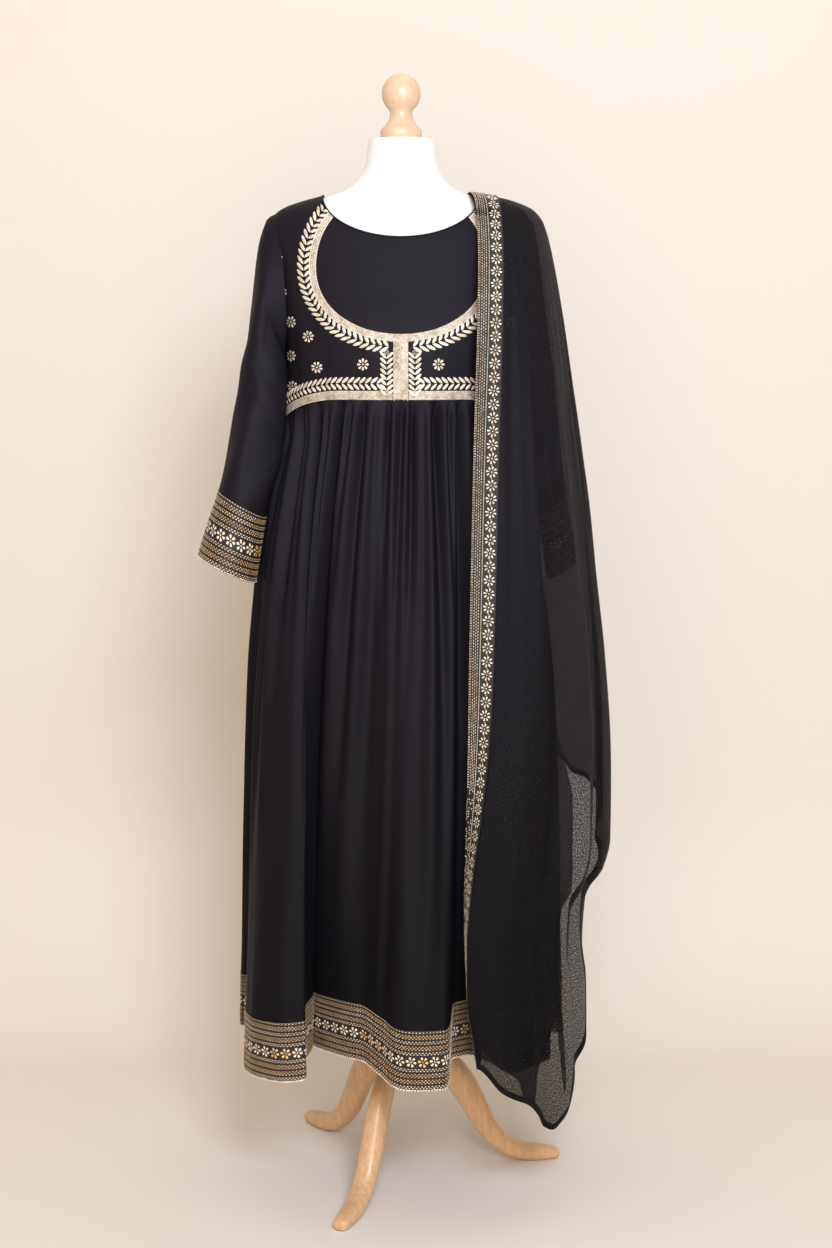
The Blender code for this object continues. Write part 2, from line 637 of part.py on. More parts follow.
def dupatta_surface(share, drop):
    share, drop = np.broadcast_arrays(np.clip(share, 0, 1), drop)
    height = dupatta_height(share, drop)
    flat = [dupatta_point(s, h) for s, h in zip(share.ravel(), height.ravel())]
    x, y = np.array(flat).T.reshape(2, *share.shape)
    centre = DUPATTA.at("inner", height)
    out = np.stack([x - centre, y], axis=-1)
    out /= np.linalg.norm(out, axis=-1, keepdims=True) + 1e-9
    ripple = 0.0 * x
    for middle, half_span, depth, start in DUPATTA_FOLDS[1:]:
        opened = np.clip((start - height) / FOLD_OPENING, 0, 1)
        ripple = ripple + depth * opened * np.exp(-(((share - middle) / half_span) ** 2))
    edge = np.clip(np.minimum(share - STRIP_SHARE, 1 - STRIP_SHARE - share) / 0.05, 0, 1)
    ripple = ripple * edge
    return np.stack([x + out[..., 0] * ripple, y + out[..., 1] * ripple, height], axis=-1)


def shoulder_level(x, y):
    """The height of the dupatta over the shoulder at a place in plan, by halving."""
    low = np.full(np.shape(x), 1.30)
    high = np.full(np.shape(x), DUPATTA.places[-1])
    for _ in range(30):
        z = (low + high) / 2
        inner = DUPATTA.at("inner", z)
        depth = np.where(y < 0, DUPATTA.at("front", z), DUPATTA.at("back", z))
        reach = np.abs((x - inner) / (DUPATTA.at("side", z) - inner)) ** DUPATTA_SQUARENESS
        inside = reach + np.abs(y / depth) ** DUPATTA_SQUARENESS < 1
        low, high = np.where(inside, z, low), np.where(inside, high, z)
    return (low + high) / 2


def dupatta_drops():
    """The rows of the dupatta's grid, as drops from its top."""
    over = DUPATTA.places[-1] - np.array([1.4872, 1.4805, 1.47, 1.457, 1.443, 1.415, 1.37, 1.325])
    below = DUPATTA.places[-1] - DUPATTA_LEVEL_ROWS * (1 - np.linspace(0, 1, 12))
    return np.concatenate([over, below])


def falling_drops():
    """The dupatta's rows from the edge of the shoulder down."""
    drops = dupatta_drops()
    over = np.where(DUPATTA.places[-1] - drops > SHOULDER_ROWS_FROM - 1e-6)[0]
    return drops[over[-1] :]


DUPATTA_SHARES = np.array(
    [0.0, 0.04, STRIP_SHARE, 0.115, 0.15, 0.18, 0.215, 0.25, 0.28, 0.315, 0.35, 0.38, 0.41, 0.45]
    + [0.50, 0.53, 0.57, 0.61, 0.655, 0.70, 0.745, 0.79, 0.835, 0.88, 1 - STRIP_SHARE, 0.96, 1.0]
)
RIDGE_Y = np.array([0.091, 0.074, 0.052, 0.030, 0.010, -0.010, -0.029, -0.048, -0.066])
FALLING = falling_drops()
STRIP_ROWS = 2 * len(FALLING) + len(RIDGE_Y)


def strip_point(across, index):
    """A point of the strip on one of its rows, counted from the back's lower end."""
    count = len(FALLING)
    if index < count:
        share = np.array([[1 - STRIP_SHARE * across]])
        return dupatta_surface(share, np.array([[FALLING[count - 1 - index]]]))[0, 0]
    index -= count
    if index >= len(RIDGE_Y):
        share = np.array([[STRIP_SHARE * across]])
        return dupatta_surface(share, np.array([[FALLING[index - len(RIDGE_Y)]]]))[0, 0]
    y = RIDGE_Y[index]
    x = 0.097 + 0.011 * min(abs(y) / 0.07, 1) + STRIP_WIDTH * across
    return np.array([x, y, float(shoulder_level(np.array(x), np.array(y))) + RIDGE_EASE])


def strip_surface(across, row):
    """The dupatta's flowered edge, from the back's lower end over the shoulder to the front."""
    across, row = np.broadcast_arrays(across, row)
    row = np.clip(row, 0, STRIP_ROWS - 1)
    points = np.empty((*row.shape, 3))
    for where in np.ndindex(row.shape):
        low = min(int(row[where]), STRIP_ROWS - 2)
        ends = [strip_point(across[where], low + k) for k in (0, 1)]
        points[where] = ends[0] + (ends[1] - ends[0]) * (row[where] - low)
    return points


def leg_rings(azimuth):
    """Rings of a leg's rounded section, from the toe back to the hub."""
    share = np.linspace(1, 0, 15)
    reach, height = LEG.at("reach", share), LEG.at("height", share)
    lean = np.arctan2(-np.gradient(height), -np.gradient(reach)) + QUARTER
    lean[-1] = QUARTER
    rings = []
    for r, z, thick, wide, a in zip(
        reach, height, LEG.at("thickness", share), LEG.at("width", share), lean
    ):
        turn = np.linspace(0, 2 * math.pi, 10, endpoint=False) + math.pi / 10
        bulge = (np.abs(np.sin(turn)) ** 3 + np.abs(np.cos(turn)) ** 3) ** (-1 / 3)
        side, rise = wide / 2 * np.cos(turn) * bulge, thick / 2 * np.sin(turn) * bulge
        out, up = r + rise * math.cos(a), np.maximum(z + rise * math.sin(a), 0.0)
        x = out * math.sin(azimuth) + side * math.cos(azimuth)
        y = -out * math.cos(azimuth) + side * math.sin(azimuth)
        rings.append(np.stack([x, y, up], axis=1))
    return rings


def finial_profile():
    """The turned finial: a ball on a waisted neck over a round base."""
    ball, ball_centre = 0.0290, 1.628
    sweep = np.radians(np.linspace(86, -54, 10))
    profile = [(ball * math.cos(t), ball_centre + ball * math.sin(t)) for t in sweep]
    profile += [(0.0162, 1.6005), (0.0170, 1.594), (0.0205, 1.587), (0.0260, 1.581)]
    bead, bead_centre, bead_half = 0.0310, 1.5715, 0.0075
    sweep = np.radians(np.linspace(70, -70, 6))
    profile += [
        (bead - 0.003 + 0.003 * math.cos(t), bead_centre + bead_half * math.sin(t)) for t in sweep
    ]
    profile.append((0.0275, NECK_TOP + PART_GAP))
    return profile


def build_stand(wood, jersey, steel):
    trunk = np.linspace(FLOOR_TO_FORM, 1.44, 14)
    shoulder = np.array([0.806, 1.45, 1.46, 1.467, 1.474, 1.48, 1.486, 1.492, 1.504, 1.52, 1.54, NECK_TOP])
    heights = np.unique(np.concatenate([trunk, shoulder]))[::-1]
    turn = np.linspace(0, 2 * math.pi, 28, endpoint=False)
    solid("form_torso", [trunk_point(FORM, turn, z + 0 * turn) for z in heights], jersey)
    turned("neck_finial", finial_profile(), wood)
    turned(
        "pole",
        [(POLE_RADIUS, FLOOR_TO_FORM - PART_GAP), (POLE_RADIUS, HUB_TOP + PART_GAP)],
        steel,
        20,
    )
    turned(
        "leg_hub",
        [
            (HUB_RADIUS * 0.75, HUB_TOP),
            (HUB_RADIUS, HUB_TOP - 0.006),
            (HUB_RADIUS, HUB_BOTTOM + 0.006),
            (HUB_RADIUS * 0.8, HUB_BOTTOM),
        ],
        wood,
        24,
    )
    for side, third in (("front", 0), ("left", 1), ("right", -1)):
        azimuth = LEG_AZIMUTH + third * 2 * math.pi / 3
        solid("leg_" + side, leg_rings(azimuth), wood, 35)


def build_kameez(georgette, zari):
    bodice_panel("bodice_front", FRONT_NECK, 15, False, georgette)
    bodice_panel("bodice_back", BACK_NECK, 12, True, georgette)
    lift = (YOKE_LIFT, YOKE_LIFT + EMBROIDERY)
    angle = np.linspace(-YOKE_END_ANGLE, YOKE_END_ANGLE, 46)[None]
    across = np.array([0.0, YOKE_BAND / 2, YOKE_BAND])[:, None]
    wall("yoke_border", yoke_surface, angle, across, *lift, zari)
    lift = (TRIM_LIFT, TRIM_LIFT + EMBROIDERY)
    surface = downwards(bodice_surface)
    drops = 2.0 - np.linspace(PLACKET_TOP, SEAM_FRONT + SEAM_GAP, 5)[:, None]
    edge = bodice_turn(PLACKET_HALF_WIDTH, SEAM_FRONT)
    wall("placket", surface, np.linspace(-edge, edge, 7)[None], drops, *lift, zari)
    for name, sign in (("right", -1), ("left", 1)):
        ends = np.sort(sign * np.array([edge + 0.004, QUARTER - 0.03]))
        turn = np.linspace(*ends, 15)[None]
        share = np.linspace(1, 0, 3)[:, None]
        drops = 2.0 - (seam_height(turn) + SEAM_GAP + WAIST_BAND * share)
        wall("waist_band_" + name, surface, turn + 0 * drops, drops, *lift, zari)
    sleeve("right", -1, SLEEVE_RIGHT, georgette, zari)
    sleeve("left", 1, SLEEVE_LEFT, georgette, zari)
    shares = [0.0012, 0.03, 0.08, 0.15, 0.24, 0.36, 0.52, 0.70, HEM_BAND_SHARE - 0.0006]
    band = [HEM_BAND_SHARE, 1.0]
    for name, middle in (("front", 0.0), ("back", math.pi)):
        skirt_piece("skirt_" + name, middle, shares, -GEORGETTE, 0.0, georgette)
        skirt_piece("hem_border_" + name, middle, band, -GEORGETTE, 0.0003, zari)


def build_dupatta(chiffon, zari):
    drops = dupatta_drops()[:, None]
    wall("dupatta", dupatta_surface, DUPATTA_SHARES[None], drops, -CHIFFON, 0.0, chiffon)
    rows = np.arange(float(STRIP_ROWS))[:, None]
    across = np.linspace(0, 1, 3)[None]
    lift = (TRIM_LIFT, TRIM_LIFT + EMBROIDERY)
    wall("dupatta_border", strip_surface, across, rows, *lift, zari)


def centre_on_floor():
    """Move the whole so that the middle of its box stands on the origin."""
    points = [v.co for o in bpy.context.scene.objects if o.type == "MESH" for v in o.data.vertices]
    low, high = np.min(points, axis=0), np.max(points, axis=0)
    ORIGIN.location = (-(low[0] + high[0]) / 2, -(low[1] + high[1]) / 2, -low[2])


for old in list(bpy.data.objects):
    bpy.data.objects.remove(old, do_unlink=True)
ORIGIN = bpy.data.objects.new("stand_axis", None)
bpy.context.scene.collection.objects.link(ORIGIN)

beech = finish("beech", (0.72, 0.42, 0.22), 0.42)
build_stand(beech, finish("jersey", (0.90, 0.90, 0.90), 0.85), finish("steel", (0.5, 0.5, 0.5), 0.35, 1.0))
gold = finish("zari", (0.60, 0.45, 0.26), 0.45, 0.6)
build_kameez(finish("georgette", (0.012, 0.011, 0.013), 0.7), gold)
build_dupatta(finish("chiffon", (0.014, 0.013, 0.014), 0.75), gold)
centre_on_floor()
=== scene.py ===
"""A black georgette anarkali suit with zari embroidery and a sheer dupatta, dressed on a limbless
form with a turned finial and a three-legged beech stand. Metres, +Z up, the front faces -Y."""

import math

import bpy
import numpy as np
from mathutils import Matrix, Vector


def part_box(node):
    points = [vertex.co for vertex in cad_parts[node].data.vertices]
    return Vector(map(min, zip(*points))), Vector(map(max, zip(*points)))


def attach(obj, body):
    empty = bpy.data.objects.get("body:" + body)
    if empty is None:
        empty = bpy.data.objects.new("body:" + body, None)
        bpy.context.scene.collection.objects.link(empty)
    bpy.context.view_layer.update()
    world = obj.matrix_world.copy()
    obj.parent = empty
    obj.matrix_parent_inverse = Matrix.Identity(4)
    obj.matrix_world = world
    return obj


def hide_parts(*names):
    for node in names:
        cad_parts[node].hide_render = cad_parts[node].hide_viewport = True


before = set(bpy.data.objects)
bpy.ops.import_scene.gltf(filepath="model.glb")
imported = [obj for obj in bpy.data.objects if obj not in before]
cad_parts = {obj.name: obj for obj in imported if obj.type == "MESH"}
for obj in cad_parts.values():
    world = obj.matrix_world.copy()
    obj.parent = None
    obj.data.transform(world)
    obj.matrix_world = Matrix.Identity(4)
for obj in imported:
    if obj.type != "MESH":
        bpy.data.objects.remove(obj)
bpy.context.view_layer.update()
bpy.ops.object.select_all(action="DESELECT")


# The studio: a cream paper sweep that curves up from the floor close behind the stand, a large
# soft key above the camera, a warm fill behind it, a light over the paper, and the camera.
pole_low, pole_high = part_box("pole")
AXIS = np.array([(pole_low[0] + pole_high[0]) / 2, (pole_low[1] + pole_high[1]) / 2, 0.0])
CAMERA_ASIDE, CAMERA_AWAY, CAMERA_HEIGHT, CAMERA_TILT = 0.0215, 3.0, 1.27, 82.1
CAMERA_LENS = 58.27

camera_data = bpy.data.cameras.new("camera")
camera_data.sensor_width = 36.0
camera_data.lens = CAMERA_LENS
camera = bpy.data.objects.new("camera", camera_data)
camera.location = (AXIS[0] + CAMERA_ASIDE, AXIS[1] - CAMERA_AWAY, CAMERA_HEIGHT)
camera.rotation_euler = (math.radians(CAMERA_TILT), 0.0, 0.0)
bpy.context.scene.collection.objects.link(camera)
bpy.context.scene.camera = camera
bpy.context.scene.view_settings.view_transform = "Standard"


class Value:
    """A socket of a material, whose arithmetic adds Math nodes."""

    def __init__(self, finish, socket):
        self.finish, self.socket = finish, socket

    def maths(self, operation, *terms):
        return self.finish.node("ShaderNodeMath", {"operation": operation}, *terms)

    def __add__(self, other):
        return self.maths("ADD", self, other)

    def __sub__(self, other):
        return self.maths("SUBTRACT", self, other)

    def __mul__(self, other):
        return self.maths("MULTIPLY", self, other)

    def __truediv__(self, other):
        return self.maths("DIVIDE", self, other)

    def __gt__(self, other):
        return self.maths("GREATER_THAN", self, other)

    __radd__, __rmul__ = __add__, __mul__


class Finish:
    """A material with one Principled shader, and one method that adds any node. The numbers
    that follow a node's settings, here and below, are the values of its sockets."""

    def __init__(self, name, colour, roughness, **constants):
        self.material = bpy.data.materials.new(name)
        self.material.use_nodes = True
        self.nodes = self.material.node_tree.nodes
        self.shader = self.nodes["Principled BSDF"]
        self.shader.inputs["Base Color"].default_value = (*colour, 1.0)
        self.shader.inputs["Roughness"].default_value = roughness
        self.material.diffuse_color = (*colour, 1.0)
        for socket, value in constants.items():
            self.shader.inputs[socket.replace("_", " ")].default_value = value

    def node(self, kind, settings, *values, out=0, **named):
        made = self.nodes.new(kind)
        for key, value in settings.items():
            if key == "stops":
                ramp = made.color_ramp
                ramp.interpolation = settings.get("blend", "LINEAR")
                while len(ramp.elements) > 1:
                    ramp.elements.remove(ramp.elements[-1])
                ramp.elements[0].position, ramp.elements[0].color = value[0][0], (*value[0][1], 1)
                for place, colour in value[1:]:
                    ramp.elements.new(place).color = (*colour, 1)
            elif key != "blend":
                setattr(made, key, value)
        for key, value in list(enumerate(values)) + list(named.items()):
            socket = made.inputs[key]
            if isinstance(value, Value):
                self.material.node_tree.links.new(value.socket, socket)
            elif isinstance(value, tuple) and socket.type == "RGBA" and len(value) == 3:
                socket.default_value = (*value, 1.0)
            else:
                socket.default_value = value
        return Value(self, made.outputs[out])

    def place(self, scale=(1, 1, 1), turn=(0, 0, 0), uv=None):
        """Object coordinates, or a piece's UV map, scaled and turned."""
        if uv:
            start = self.node("ShaderNodeUVMap", {"uv_map": uv})
        else:
            start = self.node("ShaderNodeTexCoord", {}, out=3)
        return self.node("ShaderNodeMapping", {}, start, Scale=scale, Rotation=turn)

    def noise(self, place, scale, detail=2.0, rough=0.5):
        return self.node(
            "ShaderNodeTexNoise", {}, place, Scale=scale, Detail=detail, Roughness=rough
        )

    def mix(self, share, one, other):
        """Between two colours."""
        made = self.nodes.new("ShaderNodeMix")
        made.data_type = "RGBA"
        for socket, value in zip((made.inputs[0], made.inputs[6], made.inputs[7]), (share, one, other)):
            if isinstance(value, Value):
                self.material.node_tree.links.new(value.socket, socket)
            else:
                socket.default_value = value if isinstance(value, float) else (*value, 1.0)
        return Value(self, made.outputs[2])

    def use(self, **sockets):
        """Link values to the shader's own sockets."""
        for name, value in sockets.items():
            socket = self.shader.inputs[name.replace("_", " ")]
            self.material.node_tree.links.new(value.socket, socket)

    def bump(self, height, strength, distance):
        bump = self.node("ShaderNodeBump", {}, Height=height, Strength=strength, Distance=distance)
        self.use(Normal=bump)


PAPER_REACH = 5.0
BEND_FROM, BEND_RADIUS = 0.45, 0.40
paper = Finish("backdrop_paper", (0.80, 0.748, 0.685), 0.9, Specular_IOR_Level=0.1)
paper_side = [(-PAPER_REACH, 0.0), (-2.0, 0.0), (BEND_FROM, 0.0)]
for t in np.linspace(0.1, math.pi / 2, 14):
    paper_side.append((BEND_FROM + BEND_RADIUS * math.sin(t), BEND_RADIUS - BEND_RADIUS * math.cos(t)))
paper_side += [(BEND_FROM + BEND_RADIUS, z) for z in (2.2, PAPER_REACH)]
paper_points = [(x, y, z) for y, z in paper_side for x in (-PAPER_REACH, PAPER_REACH)]
paper_faces = [(2 * i, 2 * i + 1, 2 * i + 3, 2 * i + 2) for i in range(len(paper_side) - 1)]
paper_mesh = bpy.data.meshes.new("backdrop")
paper_mesh.from_pydata(paper_points, [], paper_faces)
paper_mesh.materials.append(paper.material)
paper_mesh.shade_smooth()
backdrop = bpy.data.objects.new("backdrop", paper_mesh)
bpy.context.scene.collection.objects.link(backdrop)

ROOM_TINT, ROOM_STRENGTH = (1.0, 0.82, 0.60, 1.0), 0.49
world = bpy.data.worlds.new("studio")
world.use_nodes = True
room = world.node_tree.nodes["Background"]
room.inputs["Color"].default_value = ROOM_TINT
room.inputs["Strength"].default_value = ROOM_STRENGTH
bpy.context.scene.world = world

# Each light's name, place, aim, width in metres, power in watts and colour.
for name, place, aim, size, power, tint in (
    ("key", (0.45, -3.0, 2.35), (0.0, 0.0, 0.6), 1.15, 98.0, (0.70, 0.805, 1.0)),
    ("fill", (0.0, -3.7, 1.35), (0.0, 0.0, 0.8), 2.4, 42.0, (1.0, 0.86, 0.68)),
    ("background", (0.0, 0.05, 3.0), (0.0, 0.5, 0.0), 2.4, 12.0, (1.0, 0.94, 0.86)),
):
    light = bpy.data.lights.new(name, "AREA")
    light.shape, light.size, light.energy, light.color = "DISK", size, power, tint
    lamp = bpy.data.objects.new(name, light)
    lamp.location = place
    away = np.array(place) - np.array(aim)
    flat = math.hypot(away[0], away[1])
    lamp.rotation_euler = (math.atan2(flat, away[2]), 0.0, math.atan2(away[0], -away[1]))
    bpy.context.scene.collection.objects.link(lamp)


# The form's stand: three curved beech legs tenoned into a turned hub, with a steel tube up
# to the form, and the turned beech finial on its neck. Each is sanded round and lacquered.
ROUNDING_LEVELS = 2
QUAD_ANGLE, FLAT_ANGLE = math.radians(50), math.radians(0.2)
MERGE_WITHIN = 1e-5


def open_alone(piece):
    """Select this piece alone and open it in edit mode."""
    bpy.ops.object.select_all(action="DESELECT")
    piece.select_set(True)
    bpy.context.view_layer.objects.active = piece
    bpy.ops.object.mode_set(mode="EDIT")


def worked_copy(node, name, finish, flatten=True):
    """A finer copy of a solid: merged, its flat ends made whole, and rounded by subdivision."""
    piece = bpy.data.objects.new(name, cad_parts[node].data.copy())
    bpy.context.scene.collection.objects.link(piece)
    open_alone(piece)
    bpy.ops.mesh.select_all(action="SELECT")
    bpy.ops.mesh.remove_doubles(threshold=MERGE_WITHIN)
    if flatten:
        bpy.ops.mesh.dissolve_limited(angle_limit=FLAT_ANGLE)
    bpy.ops.mesh.tris_convert_to_quads(face_threshold=QUAD_ANGLE, shape_threshold=QUAD_ANGLE)
    bpy.ops.object.mode_set(mode="OBJECT")
    piece.data.materials.clear()
    piece.data.materials.append(finish.material)
    rounding = piece.modifiers.new("rounding", "SUBSURF")
    rounding.levels = rounding.render_levels = ROUNDING_LEVELS
    bpy.ops.object.modifier_apply(modifier="rounding")
    bpy.ops.object.shade_smooth()
    piece.select_set(False)
    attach(piece, "root")
    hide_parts(node)


def beech(name, light, dark):
    """Lacquered wood with its grain upright: long streaks, and short dark flecks."""
    wood = Finish(name, light, 0.38, Coat_Roughness=0.25, Coat_Weight=0.25)
    grain = wood.noise(wood.place((26, 26, 3.2)), 6.0, 4.0, 0.62)
    flecks = wood.noise(wood.place((420, 420, 46)), 1.0, 1.0)
    tone = (grain - 0.32) * 2.6
    colour = wood.mix(tone, light, dark)
    wood.use(
        Base_Color=wood.mix((flecks > 0.64) * 0.28, colour, tuple(c * 0.62 for c in dark)),
        Roughness=0.34 + grain * 0.14,
    )
    wood.bump(grain + flecks * 0.3, 0.12, 0.0006)
    return wood


leg_beech = beech("leg_beech", (0.74, 0.46, 0.25), (0.60, 0.34, 0.175))
finial_beech = beech("finial_beech", (0.76, 0.56, 0.39), (0.68, 0.445, 0.27))
for side in ("front", "left", "right"):
    worked_copy("leg_" + side, "beech_leg_" + side, leg_beech)
worked_copy("leg_hub", "beech_hub", leg_beech)
worked_copy("neck_finial", "beech_finial", finial_beech, flatten=False)

steel = Finish("stand_steel", (0.42, 0.42, 0.43), 0.34, Metallic=1.0)
brushed = steel.noise(steel.place((900, 900, 12)), 1.0, 2.0)
steel.use(Roughness=0.26 + brushed * 0.2)
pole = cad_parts["pole"]
pole.data.materials.clear()
pole.data.materials.append(steel.material)


# The form: a hard shell with a white cotton jersey cover pulled tight over it, seamed down
# the sides, and closed under the finial by a flat neck cap.
class Table:
    """Rows of sizes under named columns, read smoothly between rows by the first column."""

    def __init__(self, columns, *rows):
        rows = sorted(rows)
        self.columns = dict(zip(columns.split(), np.array(rows, float).T))
        self.places = self.columns[columns.split()[0]]

    def at(self, column, place):
        x, y = self.places, self.columns[column]
        place = np.clip(place, x[0], x[-1])
        step, slope = np.diff(x), np.diff(y) / np.diff(x)
        same_way = slope[:-1] * slope[1:] > 0
        total = np.where(same_way, slope[:-1] + slope[1:], 1.0)
        middle = np.where(same_way, 2 * slope[:-1] * slope[1:] / total, 0.0)
        tangent = np.concatenate([slope[:1], middle, slope[-1:]])
        i = np.clip(np.searchsorted(x, place, side="right") - 1, 0, len(step) - 1)
        t = (place - x[i]) / step[i]
        bend = 3 * slope[i] - 2 * tangent[i] - tangent[i + 1]
        twist = tangent[i] + tangent[i + 1] - 2 * slope[i]
        return y[i] + step[i] * (tangent[i] * t + t**2 * (bend + twist * t))


FORM = Table(
    "height half_width front back squareness",
    (0.800, 0.146, 0.100, 0.105, 2.1),
    (0.812, 0.153, 0.105, 0.112, 2.1),
    (0.870, 0.158, 0.108, 0.120, 2.1),
    (0.960, 0.142, 0.100, 0.106, 2.1),
    (1.050, 0.122, 0.088, 0.088, 2.1),
    (1.140, 0.134, 0.102, 0.092, 2.1),
    (1.220, 0.150, 0.122, 0.100, 2.2),
    (1.290, 0.157, 0.117, 0.104, 2.5),
    (1.350, 0.166, 0.098, 0.104, 2.7),
    (1.400, 0.174, 0.083, 0.100, 2.7),
    (1.430, 0.179, 0.071, 0.090, 2.6),
    (1.448, 0.175, 0.063, 0.079, 2.4),
    (1.457, 0.168, 0.058, 0.072, 2.3),
    (1.465, 0.156, 0.055, 0.067, 2.2),
    (1.472, 0.138, 0.054, 0.064, 2.1),
    (1.479, 0.116, 0.053, 0.062, 2.0),
    (1.485, 0.096, 0.053, 0.060, 2.0),
    (1.492, 0.079, 0.052, 0.058, 2.0),
    (1.505, 0.0635, 0.051, 0.056, 2.0),
    (1.522, 0.0535, 0.049, 0.052, 2.0),
    (1.555, 0.0480, 0.048, 0.048, 2.0),
    (1.563, 0.0465, 0.0465, 0.0465, 2.0),
)
FORM_BASE, SHOULDER, NECK_TOP = 0.800, 1.43, 1.563
FORM_COLUMNS = 144
QUARTER = math.pi / 2


def trunk_point(table, turn, height):
    """A point on a trunk's outer face. turn is 0 in front and a quarter at the left side."""
    square = table.at("squareness", height)
    sine, cosine = np.sin(turn), np.cos(turn)
    scale = (np.abs(sine) ** square + np.abs(cosine) ** square) ** (-1 / square)
    depth = np.where(cosine > 0, table.at("front", height), table.at("back", height))
    width = table.at("half_width", height)
    return np.stack([width * sine * scale, -depth * cosine * scale, height + 0 * turn], axis=-1)


SHARP_ANGLE = math.radians(60)


def make_mesh(name, points, faces, uv, materials, indices=None):
    """An object from arrays: its points, its faces of one size, and a UV map for their corners."""
    mesh = bpy.data.meshes.new(name)
    count, corners = faces.shape
    mesh.vertices.add(len(points))
    mesh.vertices.foreach_set("co", (points + AXIS).astype(np.float32).ravel())
    mesh.loops.add(count * corners)
    mesh.loops.foreach_set("vertex_index", faces.astype(np.int32).ravel())
    mesh.polygons.add(count)
    mesh.polygons.foreach_set("loop_start", np.arange(count, dtype=np.int32) * corners)
    for finish in materials:
        mesh.materials.append(finish.material)
    if indices is not None:
        mesh.polygons.foreach_set("material_index", indices.astype(np.int32))
    if uv is not None:
        layer = mesh.uv_layers.new(name="cloth")
        layer.data.foreach_set("uv", uv.astype(np.float32).ravel())
    mesh.update(calc_edges=True)
    mesh.validate()
    mesh.shade_smooth()
    mesh.set_sharp_from_angle(angle=SHARP_ANGLE)
    piece = bpy.data.objects.new(name, mesh)
    bpy.context.scene.collection.objects.link(piece)
    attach(piece, "root")
    return piece


def quads(grid):
    """The faces between the rows and columns of a grid of point numbers."""
    return np.stack([grid[:-1, :-1], grid[1:, :-1], grid[1:, 1:], grid[:-1, 1:]], axis=-1)


jersey = Finish("white_jersey", (0.86, 0.86, 0.86), 0.88, Sheen_Weight=0.25, Specular_IOR_Level=0.25)
knit = jersey.noise(jersey.place((1500, 1500, 1000)), 1.0, 1.0)
soft = jersey.noise(jersey.place(), 6.0, 2.0)
jersey.use(Base_Color=jersey.mix(knit * 0.22 + soft * 0.06, (0.88, 0.88, 0.875), (0.74, 0.74, 0.735)))
jersey.bump(knit, 0.25, 0.0004)
form_heights = [np.linspace(FORM_BASE, SHOULDER, 44), np.linspace(SHOULDER, NECK_TOP, 56)]
form_heights = np.unique(np.concatenate(form_heights))
form_turns = np.linspace(0, 2 * math.pi, FORM_COLUMNS, endpoint=False)
form_rings = trunk_point(FORM, form_turns[None], form_heights[::-1, None])
cap = [form_rings[:1] * (s, s, 1) for s in (0.02, 0.5, 0.94)]
base = [form_rings[-1:] * (s, s, 1) for s in (0.97, 0.6, 0.02)]
form_rings = np.concatenate(cap + [form_rings] + base)
rows, columns = form_rings.shape[:2]
at = np.arange(rows)[:, None] * columns + np.arange(columns + 1) % columns
form = make_mesh("form_jersey", form_rings.reshape(-1, 3), quads(at).reshape(-1, 4), None, [jersey])
open_alone(form)
bpy.ops.mesh.select_non_manifold()
bpy.ops.mesh.fill_holes(sides=0)
bpy.ops.object.mode_set(mode="OBJECT")
form.select_set(False)
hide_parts("form_torso")


# The bodice: two panels of black georgette joined at the shoulders and sides, with the wide
# round neck turned in on a fine cord. It rests on the form's shoulders and bust.
BODICE = Table(
    "height half_width front back squareness",
    (1.130, 0.1735, 0.131, 0.114, 2.1),
    (1.190, 0.1735, 0.132, 0.114, 2.1),
    (1.240, 0.1700, 0.133, 0.113, 2.2),
    (1.290, 0.1690, 0.127, 0.114, 2.5),
    (1.350, 0.176, 0.108, 0.114, 2.7),
    (1.400, 0.184, 0.091, 0.109, 2.7),
    (1.430, 0.188, 0.080, 0.099, 2.6),
    (1.448, 0.187, 0.071, 0.088, 2.4),
    (1.458, 0.182, 0.066, 0.081, 2.3),
    (1.467, 0.168, 0.063, 0.076, 2.2),
    (1.475, 0.145, 0.061, 0.073, 2.1),
    (1.4835, 0.114, 0.060, 0.070, 2.0),
    (1.492, 0.090, 0.059, 0.067, 2.0),
)
GEORGETTE = 0.0010
SEAM_GAP = 0.0004
ARMHOLE_EASE = 0.0003
NECK_POINT, SHOULDER_TIP = 1.4835, 1.458
FRONT_NECK, BACK_NECK, UNDERARM = 1.420, 1.466, 1.250
ARMHOLE_DEPTH = 0.052
SEAM_FRONT, SEAM_SIDE = 1.191, 1.146
SEAM_LEVEL, SEAM_BEND = 0.35, 1.6
PANEL_ROWS, HOLE_ROWS = 52, 34
CREASES, CREASE_DEPTH = 21, 0.0010
FINE_CREASES, FINE_CREASE_DEPTH = 37, 0.0004
PULLS, PULLS_FROM, PULLS_DEPTH = 60, 0.55, 0.0022
ABOVE_ALL = 2.0


def black_cloth(name, colour, lighter, weave):
    """Crepe of this weave, unevenly dyed, with painted shade that makes it darker towards the floor."""
    cloth = Finish(name, colour, 0.6, Specular_IOR_Level=0.11)
    crepe = cloth.noise(cloth.place(uv="cloth"), weave, 1.0)
    cloudy = cloth.noise(cloth.place(), 9.0, 2.0)
    # Painted shade: the colour darkens with falling height, standing in for the light that falls off
    # lower down.
    height = cloth.node("ShaderNodeSeparateXYZ", {}, cloth.place(), out=2)
    dyed = cloth.mix(crepe * 0.5 + cloudy * 0.4, colour, lighter)
    cloth.use(
        Base_Color=cloth.mix(height * 0.95 - 0.10, tuple(c * 0.3 for c in colour), dyed),
        Roughness=0.50 + crepe * 0.2,
    )
    cloth.bump(crepe, 0.22, 0.0005)
    return cloth


georgette = black_cloth("black_georgette", (0.0075, 0.0060, 0.0092), (0.0138, 0.0113, 0.0168), 1100.0)


